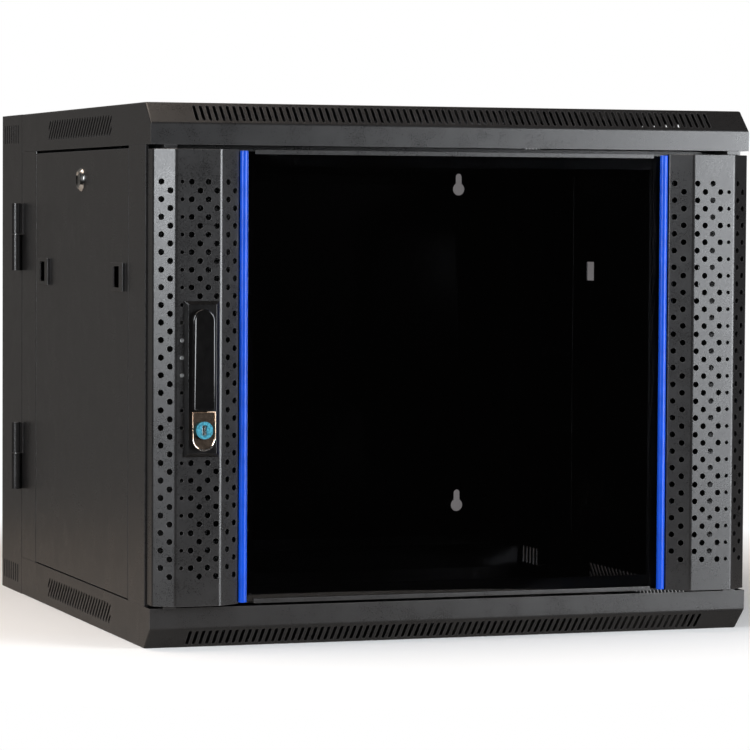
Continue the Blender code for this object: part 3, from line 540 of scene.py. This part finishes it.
COOL, WARM = (0.93, 0.96, 1.0), (1.0, 0.86, 0.74)
LIGHTS = (      # name, place, point it is aimed at, width and height, watts, tint
    ("key_right", (1.66, -2.10, 0.66), (0.0, -0.3, 0.3), (1.15, 1.6), 92.0, COOL),
    ("fill_left", (-2.20, -1.80, 1.08), (-0.2, -0.3, 0.4), (0.8, 1.5), 84.0, COOL),
    ("top", (-0.82, 0.2, 2.6), (-0.2, 0.0, 0.3), (1.7, 2.2), 46.0, WARM),
)
FLOOR_RADIUS, FLOOR_MIDDLE_Y = 0.95, 0.22
FLOOR_FADE = (0.50, 0.90)           # where the floor starts to pale into the room, and ends
FLOOR_PALE, FLOOR_PALER = (0.90, 0.90, 0.90, 1), (0.93, 0.93, 0.93, 1)
FLOOR_IN_REFLECTIONS = (0.36, 0.33, 0.30, 1.0)
WHITE, BLACK = (1.0, 1.0, 1.0, 1.0), (0.0, 0.0, 0.0, 1.0)
ROOM_TINT = (1.0, 0.95, 0.90, 1.0)
ROOM_RISE = (0.008, 0.17)           # from the dark front half of the room to the pale back half
ROOM_THROUGH_GLASS = 6.5            # how much brighter the room is behind the smoked glass
CAMERA_PLACE = (-1.159711, -3.427002, 0.405941)
CAMERA_ANGLES = (-19.016, 2.656, 0.331)     # azimuth, elevation and roll, in degrees
CAMERA_LENS, CAMERA_SENSOR = 169.62, 36.0


class CABINET_OT_stage(bpy.types.Operator):
    """Sets the floor, the lights and the camera"""
    bl_idname = "cabinet.stage"
    bl_label = "Stage"

    def execute(self, context):
        scene = context.scene
        world = bpy.data.worlds.new("studio")
        world.use_nodes = True
        tree = world.node_tree
        direction = tree.nodes.new("ShaderNodeTexCoord").outputs["Generated"]
        level = linked(tree, "ShaderNodeSeparateXYZ", {"Vector": direction})
        room = ramp(tree, level.outputs["Y"], *ROOM_RISE, 0.0, 1.0)
        seen = tree.nodes.new("ShaderNodeLightPath").outputs["Is Camera Ray"]
        tone = blended(tree, seen, ROOM_TINT, WHITE)
        through = ramp(tree, seen.node.outputs["Is Transmission Ray"], 1.0, ROOM_THROUGH_GLASS)
        behind = linked(tree, "ShaderNodeMath", operation="MULTIPLY")
        tree.links.new(through, behind.inputs[0])
        tree.links.new(room, behind.inputs[1])
        strength = linked(tree, "ShaderNodeMath", operation="MAXIMUM")
        tree.links.new(seen, strength.inputs[0])
        tree.links.new(behind.outputs["Value"], strength.inputs[1])
        tree.links.new(tone, tree.nodes["Background"].inputs["Color"])
        tree.links.new(strength.outputs["Value"], tree.nodes["Background"].inputs["Strength"])
        scene.world = world
        scene.view_settings.view_transform = "Standard"

        bm = bmesh.new()
        bmesh.ops.create_circle(bm, cap_ends=True, segments=96, radius=FLOOR_RADIUS)
        floor = raw_object("floor", bm)
        floor.location.y = FLOOR_MIDDLE_Y
        material, tree, shader, place = blank_finish("pale_floor", Roughness=0.8)
        pale = blended(tree, noise(tree, place, 0.6, 2.0), FLOOR_PALE, FLOOR_PALER)
        seen = tree.nodes.new("ShaderNodeLightPath").outputs["Is Camera Ray"]
        reach = linked(tree, "ShaderNodeVectorMath", {0: place}, operation="LENGTH")
        fade = ramp(tree, reach.outputs["Value"], 0.0, 1.0, *FLOOR_FADE)
        ground = blended(tree, fade, pale, BLACK)
        tone = blended(tree, seen, FLOOR_IN_REFLECTIONS, ground)
        tree.links.new(tone, shader.inputs["Base Color"])
        glow = linked(tree, "ShaderNodeMath", {0: fade, 1: seen}, operation="MULTIPLY")
        shader.inputs["Emission Color"].default_value = WHITE
        tree.links.new(glow.outputs["Value"], shader.inputs["Emission Strength"])
        floor.data.materials.append(material)

        for light in LIGHTS:
            self.add_light(*light)

        data = bpy.data.cameras.new("view")
        data.lens, data.sensor_width = CAMERA_LENS, CAMERA_SENSOR
        data.clip_start, data.clip_end = 0.1, 60.0
        camera = bpy.data.objects.new("view", data)
        scene.collection.objects.link(camera)
        azimuth, elevation, roll = (math.radians(angle) for angle in CAMERA_ANGLES)
        forward = Vector((-math.sin(azimuth) * math.cos(elevation),
                          math.cos(azimuth) * math.cos(elevation), -math.sin(elevation)))
        right = forward.cross(Vector((0, 0, 1))).normalized()
        up = right.cross(forward)
        turned_right = math.cos(roll) * right + math.sin(roll) * up
        turned_up = math.cos(roll) * up - math.sin(roll) * right
        turn = Matrix((turned_right, turned_up, -forward)).transposed()
        camera.matrix_world = Matrix.Translation(CAMERA_PLACE) @ turn.to_4x4()
        scene.camera = camera
        return {"FINISHED"}

    @staticmethod
    def add_light(name, place, target, size, power, tint):
        data = bpy.data.lights.new(name, "AREA")
        data.shape = "RECTANGLE"
        data.size, data.size_y = size
        data.energy = power
        data.color = tint
        light = bpy.data.objects.new(name, data)
        light.location = place
        aim = Vector(target) - Vector(place)
        light.rotation_euler = aim.to_track_quat("-Z", "Y").to_euler()
        bpy.context.scene.collection.objects.link(light)


class CABINET_OT_finishes(bpy.types.Operator):
    """Mixes the powder coats, plastics, platings and glass"""
    bl_idname = "cabinet.finishes"
    bl_label = "Finishes"

    def execute(self, context):
        mix_finishes(context.scene.cabinet_colours)
        return {"FINISHED"}


# ---------------------------------------------------------------- covers

def nose_slots(sheet, vents):
    """Cutters for the slots in the top cover's sloped nose."""
    rise = COVER_HIGH.z - COVER_LOW.z - sheet.nose_band
    slope = Vector((sheet.nose_run, rise)).normalized()
    middle = Vector((COVER_LOW.y + sheet.nose_run / 2,
                     COVER_LOW.z + sheet.nose_band + rise / 2))
    normal = Vector((-slope.y, slope.x))
    outline = slot_outline((0, 0), vents.nose_length / 2, vents.nose_width / 2, (0, 1))
    cutters = []
    for index in range(vents.nose_count):
        x = vents.nose_middle + (index - (vents.nose_count - 1) / 2) * vents.nose_pitch
        bm = prism(outline, "Z", -3 * sheet.thickness, 3 * sheet.thickness)
        turn = Matrix(((1, 0, 0), (0, slope.x, normal.x), (0, slope.y, normal.y))).to_4x4()
        bmesh.ops.transform(bm, matrix=Matrix.Translation((x, middle.x, middle.y)) @ turn,
                            verts=bm.verts)
        bmesh.ops.recalc_face_normals(bm, faces=bm.faces)
        cutters.append(bm)
    return joined(*cutters)


def side_slots(sheet, vents):
    """Cutters for the slanted slots in both skirts of the top cover."""
    high = COVER_HIGH.z - vents.side_edge
    low = high - vents.side_height
    half_width = vents.side_width * math.sqrt(0.5) / 2
    cutters = []
    start = vents.side_rear + vents.side_height
    while start > vents.side_front + vents.side_width / 2:
        foot, head = (start, low), (start - vents.side_height, high)
        if foot[0] > vents.side_rear:
            cut = foot[0] - vents.side_rear
            foot = (vents.side_rear, low + cut)
        if head[0] < vents.side_front:
            cut = vents.side_front - head[0]
            head = (vents.side_front, high - cut)
        span = Vector(head) - Vector(foot)
        if span.length > vents.side_width:
            middle = (Vector(foot) + Vector(head)) / 2
            outline = slot_outline(middle, span.length / 2, half_width, span.normalized(), 4)
            for side in (-1, 1):
                cutter = prism(outline, "X", side * HALF - 3 * sheet.thickness,
                               side * HALF + 3 * sheet.thickness)
                cutters.append(mirrored(cutter, "Z", (low + high) / 2) if side > 0 else cutter)
        start -= vents.side_pitch
    return joined(*cutters)


def cover_shell(sheet):
    """Outer skin of the top cover, open at its foot and its back."""
    profile = [(COVER_LOW.y, COVER_LOW.z), (COVER_LOW.y, COVER_LOW.z + sheet.nose_band),
               (COVER_LOW.y + sheet.nose_run, COVER_HIGH.z), (COVER_HIGH.y, COVER_HIGH.z),
               (COVER_HIGH.y, COVER_LOW.z)]
    bm = prism(profile, "X", -HALF, HALF)
    bm.normal_update()
    open_faces = [face for face in bm.faces if face.normal.z < -0.9 or face.normal.y > 0.9]
    bmesh.ops.delete(bm, geom=open_faces, context="FACES")
    open_corner = [edge for edge in bm.edges
                   if abs(edge.verts[0].co.y - edge.verts[1].co.y) < 1e-6
                   and abs(edge.verts[0].co.z - edge.verts[1].co.z) > 1e-4
                   and edge.verts[0].co.y < COVER_LOW.y + 1e-4]
    rounded(bm, [edge for edge in bm.edges if len(edge.link_faces) == 2
                 and edge not in open_corner], sheet.fold, 4)
    return bm


def make_cover(context, name, top):
    """Top cover, or the bottom tray as the same folded part turned over."""
    sheet, vents = context.scene.cabinet_sheet, context.scene.cabinet_vents
    bm = cover_shell(sheet)
    noses, sides = nose_slots(sheet, vents), side_slots(sheet, vents)
    if not top:
        for shape in (bm, noses, sides):
            mirrored(mirrored(shape, "Z", MIDDLE_Z), "X")
    obj = raw_object(name + "_vented", bm)
    thicken(obj, sheet.thickness, sheet.break_edge)
    punch(obj, joined(noses, sides))
    dress(obj, "main_body", "powder", (name,))


class CABINET_OT_covers(bpy.types.Operator):
    """Makes the top cover and the bottom tray with their slots"""
    bl_idname = "cabinet.covers"
    bl_label = "Covers"

    def execute(self, context):
        make_cover(context, "top_cover", True)
        make_cover(context, "bottom_tray", False)
        return {"FINISHED"}


# ---------------------------------------------------------------- wall section and frame

WALL_SLOT_MARGINS = (0.0145, 0.0080)        # from the wall section's front and from its back
WALL_SLOT_EDGE = 0.02035                    # middle of a slot from the cabinet's top or bottom
WALL_SLOT_HALF = 0.01015
WALL_SLOT_DEPTH = 0.004


def upright_slots(vents, side):
    """Cutters for the slots at the head and foot of a side of the wall section."""
    cutters = []
    front, rear = WALL_LOW.y + WALL_SLOT_MARGINS[0], WALL_HIGH.y - WALL_SLOT_MARGINS[1]
    count = int((rear - front) / vents.wall_pitch) + 1
    middle = (rear + front) / 2
    for z in (WALL_SLOT_EDGE, COVER_HIGH.z - WALL_SLOT_EDGE):
        for index in range(count):
            y = middle + (index - (count - 1) / 2) * vents.wall_pitch
            outline = slot_outline((y, z), WALL_SLOT_HALF, vents.wall_width / 2, (0, 1), 4)
            cutters.append(prism(outline, "X", side * HALF - WALL_SLOT_DEPTH,
                                 side * HALF + WALL_SLOT_DEPTH))
    return joined(*cutters)


class CABINET_OT_wall_section(bpy.types.Operator):
    """Finishes the section that stays on the wall"""
    bl_idname = "cabinet.wall_section"
    bl_label = "Wall section"

    def execute(self, context):
        vents = context.scene.cabinet_vents
        for node in ("wall_back", "wall_top", "wall_bottom", "cable_plate_top",
                     "cable_plate_bottom"):
            softened(node, "wall_section", "powder")
        for node, side in (("wall_side_left", -1), ("wall_side_right", 1)):
            softened(node, "wall_section", "powder", cutter=upright_slots(vents, side))
        return {"FINISHED"}


class CABINET_OT_frame(bpy.types.Operator):
    """Finishes the posts and the cross rails"""
    bl_idname = "cabinet.frame"
    bl_label = "Frame"

    def execute(self, context):
        for place in ("front", "rear"):
            for side in ("left", "right"):
                softened(f"post_{place}_{side}", "main_body", "powder", FRAME_EDGE)
        for level, place in (("bottom", "front"), ("top", "front"), ("bottom", "rear"),
                             ("top", "rear")):
            softened(f"frame_{level}_{place}", "main_body", "powder", FRAME_EDGE)
        return {"FINISHED"}


class CABINET_OT_rails(bpy.types.Operator):
    """Finishes the slotted 19-inch rails and the bars that carry them"""
    bl_idname = "cabinet.rails"
    bl_label = "Rails"

    def execute(self, context):
        for place in ("front", "rear"):
            for side in ("left", "right"):
                softened(f"rail_{place}_{side}", "main_body", "rail")
        for level in ("bottom", "top"):
            for side in ("left", "right"):
                softened(f"depth_bar_{level}_{side}", "main_body", "rail")
        return {"FINISHED"}


class CABINET_OT_main_hinges(bpy.types.Operator):
    """Finishes the hinge barrels and their pins"""
    bl_idname = "cabinet.main_hinges"
    bl_label = "Main hinges"

    def execute(self, context):
        for half, body in (("fixed", "wall_section"), ("moving", "main_body")):
            for level in ("upper", "lower"):
                softened(f"knuckle_{half}_{level}", body, "powder", KNUCKLE_EDGE, 3)
        for level in ("upper", "lower"):
            softened(f"hinge_pin_{level}", "wall_section", "zinc", PIN_EDGE)
        return {"FINISHED"}


# ---------------------------------------------------------------- side panels

class CABINET_OT_side_panels(bpy.types.Operator):
    """Finishes the removable side panels and their finger pulls"""
    bl_idname = "cabinet.side_panels"
    bl_label = "Side panels"

    def execute(self, context):
        for name in ("left", "right"):
            softened("side_panel_" + name, name + "_panel", "powder", PANEL_EDGE)
        return {"FINISHED"}


BEZEL_BORE = 0.0062
BEZEL_CONE, BEZEL_CREST, BEZEL_DISH = 0.0024, 0.0029, 0.0035    # inwards from the rim
KEYWAY_HALF, KEYWAY_RADIUS, KEYWAY_DEPTH = 0.0034, 0.0009, 0.0035


def make_cam_lock(bezel_node, plug_node, body, key_body, side):
    """Dished bezel, and plug with its key slot and cam."""
    low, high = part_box(bezel_node)
    y, z = (low.y + high.y) / 2, (low.z + high.z) / 2
    inner = high.x if side < 0 else low.x
    radius, reach = (high.y - low.y) / 2, side * (high.x - low.x)
    bore = BEZEL_BORE
    ring = lathed([(bore, 0.0), (radius, 0.0), (radius, reach * 0.10),
                   (radius - BEZEL_CONE, reach * 0.90), (radius - BEZEL_CREST, reach),
                   (radius - BEZEL_DISH, reach * 0.95), (bore + 0.0010, reach * 0.55),
                   (bore, reach * 0.48), (bore, 0.0)], (inner, y, z))
    piece(bezel_node + "_turned", ring, body, "chrome", replaces=(bezel_node,), angle=50.0)
    bm = cad_copy(plug_node)
    rounded(bm, sharp_edges(bm, 50), FRAME_EDGE, 2)
    obj = raw_object(plug_node + "_finished", bm)
    low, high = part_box(plug_node)
    front = low.x if side < 0 else high.x
    outline = slot_outline((y, z), KEYWAY_HALF, KEYWAY_RADIUS, (0, 1), 4)
    punch(obj, prism(outline, "X", front - KEYWAY_DEPTH, front + KEYWAY_DEPTH))
    dress(obj, key_body, "chrome", (plug_node,))


class CABINET_OT_cam_locks(bpy.types.Operator):
    """Makes the cam locks of the side panels and of the body"""
    bl_idname = "cabinet.cam_locks"
    bl_label = "Cam locks"

    def execute(self, context):
        for name, side in (("left", -1), ("right", 1)):
            make_cam_lock("panel_lock_bezel_" + name, "panel_lock_plug_" + name,
                          name + "_panel", name + "_panel_key", side)
        make_cam_lock("body_lock_bezel", "body_lock_plug", "main_body", "body_key", 1)
        return {"FINISHED"}


# ---------------------------------------------------------------- door

# Folds of the left strip's outer face from its outer return to its inner lip, (x, y)
STRIP_PATH = [(-0.2852, -0.2825), (-0.2982, -0.2825), (-0.2982, -0.3005), (-0.2795, -0.3130),
              (-0.2363, -0.3130), (-0.2153, -0.3005), (-0.2153, -0.2947), (-0.2003, -0.2947)]
# Columns of holes: in from the outer slope's edge, (x, row offset) on the face, and in from
# the inner fold
OUTER_COLUMNS = (0.0082, 0.0169)
FACE_COLUMNS = ((-0.2735, 0), (-0.2646, 0), (-0.2565, 1), (-0.2486, 0), (-0.2405, 1))
INNER_COLUMNS = (0.0094, 0.0185)
HANDLE_CLEAR_Z, HANDLE_CLEAR_X = 0.001, 0.002   # no hole's middle this near the handle's base
TRIM_STEPS = 20


def round_cutter(centre, radius, normal, depth):
    """Cylinder that drills a sheet along its normal."""
    bm = bmesh.new()
    turn = Vector((0, 0, 1)).rotation_difference(Vector(normal)).to_matrix().to_4x4()
    bmesh.ops.create_cone(bm, cap_ends=True, cap_tris=False, segments=14, radius1=radius,
                          radius2=radius, depth=depth, matrix=Matrix.Translation(centre) @ turn)
    return bm


def strip_holes(context, handle):
    """Cutters for a strip's perforation, with or without the handle's place left whole."""
    holes, sheet = context.scene.cabinet_holes, context.scene.cabinet_sheet
    first = STRIP_HIGH.z - holes.top
    outer_edge, outer_fold, inner_fold, inner_edge = (Vector(fold) for fold in STRIP_PATH[2:6])
    columns = []
    for index, along in enumerate(OUTER_COLUMNS):
        way = (outer_fold - outer_edge).normalized()
        columns.append((outer_edge + way * along, (way.y, -way.x), index, holes.radius))
    for index, (x, row) in enumerate(FACE_COLUMNS):
        columns.append((Vector((x, outer_fold.y)), (0.0, -1.0), row,
                        holes.small_radius if index == 0 else holes.radius))
    for index, along in enumerate(INNER_COLUMNS):
        way = (inner_edge - inner_fold).normalized()
        columns.append((inner_fold + way * along, (way.y, -way.x), index, holes.radius))
    cutters = []
    base_low, base_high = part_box("handle_base")
    for point, normal, row, radius in columns:
        for number in range(holes.rows):
            z = first - (number + 0.5 * row) * holes.pitch
            behind = (base_low.z - HANDLE_CLEAR_Z < z < base_high.z + HANDLE_CLEAR_Z
                      and base_low.x + HANDLE_CLEAR_X < point.x < base_high.x)
            if handle and behind and abs(point.y - outer_fold.y) < 1e-6:
                continue
            cutters.append(round_cutter((point.x, point.y, z), radius,
                                        (normal[0], normal[1], 0.0), 6 * sheet.thickness))
    return joined(*cutters)


def make_strip(context, name):
    """Left strip, or the right one as the same strip turned over."""
    sheet = context.scene.cabinet_sheet
    bm = folded_sheet(STRIP_PATH, "Z", STRIP_LOW.z, STRIP_HIGH.z, sheet.fold)
    holes = strip_holes(context, name == "left")
    if name == "right":
        middle = (STRIP_LOW.z + STRIP_HIGH.z) / 2
        for shape in (bm, holes):
            mirrored(shape, "X")
            mirrored(shape, "Z", middle)
    obj = raw_object(f"door_strip_{name}_perforated", bm)
    thicken(obj, sheet.thickness, sheet.break_edge)
    punch(obj, holes)
    break_edges(obj, FINE_EDGE)
    dress(obj, "front_door", "powder", ("door_strip_" + name,), 25.0)


class CABINET_OT_door_strips(bpy.types.Operator):
    """Makes the folded, perforated strips of the door"""
    bl_idname = "cabinet.door_strips"
    bl_label = "Door strips"

    def execute(self, context):
        make_strip(context, "left")
        make_strip(context, "right")
        return {"FINISHED"}


class CABINET_OT_glass(bpy.types.Operator):
    """Finishes the glass, its channels and its blue trims"""
    bl_idname = "cabinet.glass"
    bl_label = "Glass and trims"

    def execute(self, context):
        softened("door_glass", "front_door", "glass", GLASS_EDGE)
        for level in ("bottom", "top"):
            softened("door_channel_" + level, "front_door", "powder")
        for name, side in (("left", -1), ("right", 1)):
            low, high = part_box("door_trim_" + name)
            middle, radius = (low.x + high.x) / 2, (high.x - low.x) / 2
            rise = high.y - low.y
            outline = [(middle + radius * math.cos(math.pi * i / TRIM_STEPS),
                        high.y - rise * math.sin(math.pi * i / TRIM_STEPS))
                       for i in range(TRIM_STEPS + 1)]
            bm = prism(outline, "Z", low.z, high.z)
            rounded(bm, sharp_edges(bm, 60), FRAME_EDGE, 2)
            piece(f"door_trim_{name}_extruded", bm, "front_door", "trim",
                  replaces=("door_trim_" + name,), angle=50.0)
        return {"FINISHED"}


class CABINET_OT_door_pins(bpy.types.Operator):
    """Finishes the door's hinge pins"""
    bl_idname = "cabinet.door_pins"
    bl_label = "Door pins"

    def execute(self, context):
        for level in ("bottom", "top"):
            softened("door_pin_" + level, "front_door", "zinc", PIN_EDGE)
        return {"FINISHED"}


# ---------------------------------------------------------------- swing handle

ROUND_STEPS = 24
LEVER_RIM, LEVER_STEP, LEVER_SUNK, LEVER_ROUND = 0.0024, 0.0008, 0.0005, 0.0019
LEVER_HEEL = 0.0026
POCKET_HALF_WIDTH, POCKET_DEPTH = 0.0059, 0.0036
POCKET_BELOW, POCKET_ABOVE = 0.0084, 0.0062     # from the middle of the spindle
BASE_CHAMFER = 0.0032
PLATE_RIM, PLATE_STEP, PLATE_SUNK, PLATE_ROUND = 0.0010, 0.0005, 0.0012, 0.0005
PLATE_FIELD = 0.0010                            # faces deeper than this are the sunk field
PLATE_PAINTED_REFLECTION_FROM = 0.42                         # height of its chromed foot, of the whole; above it the plate carries a painted brown reflection
KEY_PLUG_ROOM = 0.0003


def round_ended(low, high, end):
    """Outline of an upright plate with a half-round end: 1 at its head, -1 at its foot."""
    half = (high.x - low.x) / 2
    x = (low.x + high.x) / 2
    centre, square = (high.z - half, low.z) if end > 0 else (low.z + half, high.z)
    arc = [(x + half * math.cos(math.pi * i / ROUND_STEPS),
            centre + end * half * math.sin(math.pi * i / ROUND_STEPS))
           for i in range(ROUND_STEPS + 1)]
    return arc + [(x - half, square), (x + half, square)]


def lever_shape():
    """Lever with a raised round rim and a shallow, flat middle."""
    low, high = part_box("handle_lever")
    bm = prism(round_ended(low, high, 1), "Y", low.y, high.y)
    bm.normal_update()
    front = next(face for face in bm.faces if face.normal.y < -0.9)
    bmesh.ops.inset_region(bm, faces=[front], thickness=LEVER_RIM, depth=0.0)
    bmesh.ops.inset_region(bm, faces=[front], thickness=LEVER_STEP, depth=-LEVER_SUNK)
    bm.normal_update()
    rim = [edge for edge in bm.edges if len(edge.link_faces) == 2
           and all(abs(v.co.y - low.y) < 1e-5 for v in edge.verts)
           and edge.calc_face_angle(0.0) > math.radians(60)]
    rounded(bm, rim, LEVER_ROUND, 5)
    return bm


def lever_hollows():
    """Cutters for the heel the lever lifts on and for the pocket over the spindle's head."""
    low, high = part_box("handle_lever")
    head_low, head_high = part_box("handle_spindle")
    past = Vector((0.001, 0.001, 0.001))
    heel = block((low.x - past.x, high.y - LEVER_HEEL, high.z - LEVER_HEEL), high + past)
    middle = (head_low + head_high) / 2
    pocket = block((middle.x - POCKET_HALF_WIDTH, high.y - POCKET_DEPTH,
                    middle.z - POCKET_BELOW),
                   (middle.x + POCKET_HALF_WIDTH, high.y + 0.0002, middle.z + POCKET_ABOVE))
    return joined(heel, pocket)


def base_shape():
    """Base plate with a broad chamfer round its front."""
    bm = cad_copy("handle_base")
    low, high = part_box("handle_base")
    rim = [edge for edge in sharp_edges(bm, 60) if all(
        abs(v.co.y - low.y) < 1e-5 and min(v.co.x - low.x, high.x - v.co.x, v.co.z - low.z,
                                           high.z - v.co.z) < 1e-5 for v in edge.verts)]
    rounded(bm, rim, BASE_CHAMFER, 1)
    rounded(bm, sharp_edges(bm), FINE_EDGE, 2)
    return bm


def lock_plate_shape():
    """Lock plate with a raised rim round a sunk field."""
    low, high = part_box("lock_plate")
    bm = prism(round_ended(low, high, -1), "Y", low.y, high.y)
    bm.normal_update()
    front = next(face for face in bm.faces if face.normal.y < -0.9)
    bmesh.ops.inset_region(bm, faces=[front], thickness=PLATE_RIM, depth=0.0)
    bmesh.ops.inset_region(bm, faces=[front], thickness=PLATE_STEP, depth=-PLATE_SUNK)
    rim = [edge for edge in sharp_edges(bm, 35)
           if all(v.co.y < low.y + 1e-5 for v in edge.verts)]
    rounded(bm, rim, PLATE_ROUND, 3)
    return bm


class CABINET_OT_swing_handle(bpy.types.Operator):
    """Makes the swing handle: base, lever, lock plate, spindle, tongue and bracket"""
    bl_idname = "cabinet.swing_handle"
    bl_label = "Swing handle"

    def execute(self, context):
        piece("handle_base_chamfered", base_shape(), "front_door", "satin",
              ("handle_base",))
        softened("handle_bracket", "front_door", "bracket")
        softened("handle_spindle", "handle_spindle", "zinc")
        softened("latch_tongue", "handle_spindle", "zinc")
        obj = raw_object("handle_lever_moulded", lever_shape())
        punch(obj, lever_hollows())
        dress(obj, "handle_lever", "enamel", ("handle_lever",), 40.0)
        plug_low, plug_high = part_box("key_plug")
        bore = (plug_high.x - plug_low.x) / 2 + KEY_PLUG_ROOM
        obj = raw_object("lock_plate_cast", lock_plate_shape())
        punch(obj, round_cutter((plug_low + plug_high) / 2, bore, (0, 1, 0), 0.1))
        dress(obj, "front_door", "chrome", ("lock_plate",), 40.0)
        # Second finish for the sunk field and for all above the chromed foot: a painted brown
        # reflection, the chrome foot below stays bright
        obj.data.materials.append(FINISHES["plate"])
        low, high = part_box("lock_plate")
        painted_reflection_from = low.z + PLATE_PAINTED_REFLECTION_FROM * (high.z - low.z)
        for polygon in obj.data.polygons:
            sunk = polygon.normal.y < -0.9 and polygon.center.y > low.y + PLATE_FIELD
            if sunk or polygon.center.z > painted_reflection_from:
                polygon.material_index = 1
        return {"FINISHED"}


class CABINET_OT_key_lock(bpy.types.Operator):
    """Makes the handle's key plug and its pale blue cap"""
    bl_idname = "cabinet.key_lock"
    bl_label = "Key lock"

    def execute(self, context):
        softened("key_plug", "door_key", "zinc", 0.0002)
        softened("key_cap", "door_key", "key_cap", 0.0005, 3)
        return {"FINISHED"}


# ---------------------------------------------------------------- panel and registration

OPERATORS = (CABINET_OT_stage, CABINET_OT_finishes, CABINET_OT_covers,
             CABINET_OT_wall_section, CABINET_OT_frame, CABINET_OT_rails,
             CABINET_OT_main_hinges, CABINET_OT_side_panels, CABINET_OT_cam_locks,
             CABINET_OT_door_strips, CABINET_OT_glass, CABINET_OT_door_pins,
             CABINET_OT_swing_handle, CABINET_OT_key_lock)
GROUPS = {"cabinet_sheet": CabinetSheet, "cabinet_vents": CabinetVents,
          "cabinet_holes": CabinetHoles, "cabinet_colours": CabinetColours}


class CABINET_PT_sidebar(bpy.types.Panel):
    """Lists the cabinet's operators, sizes and colours"""
    bl_label = "Wall Cabinet"
    bl_idname = "CABINET_PT_sidebar"
    bl_space_type = "VIEW_3D"
    bl_region_type = "UI"
    bl_category = "Cabinet"

    def draw(self, context):
        layout = self.layout
        for operator in OPERATORS:
            layout.operator(operator.bl_idname)
        for attribute in GROUPS:
            group = getattr(context.scene, attribute)
            box = layout.box()
            for name in group.bl_rna.properties.keys():
                if name not in ("rna_type", "name"):
                    box.prop(group, name)


def register():
    for cls in (*GROUPS.values(), *OPERATORS, CABINET_PT_sidebar):
        bpy.utils.register_class(cls)
    for attribute, cls in GROUPS.items():
        setattr(bpy.types.Scene, attribute, PointerProperty(type=cls))


def unregister():
    for attribute in GROUPS:
        delattr(bpy.types.Scene, attribute)
    for cls in reversed((*GROUPS.values(), *OPERATORS, CABINET_PT_sidebar)):
        bpy.utils.unregister_class(cls)


def main():
    register()
    for operator in OPERATORS:
        group, name = operator.bl_idname.split(".")
        getattr(getattr(bpy.ops, group), name)()


if __name__ == "__main__":
    main()
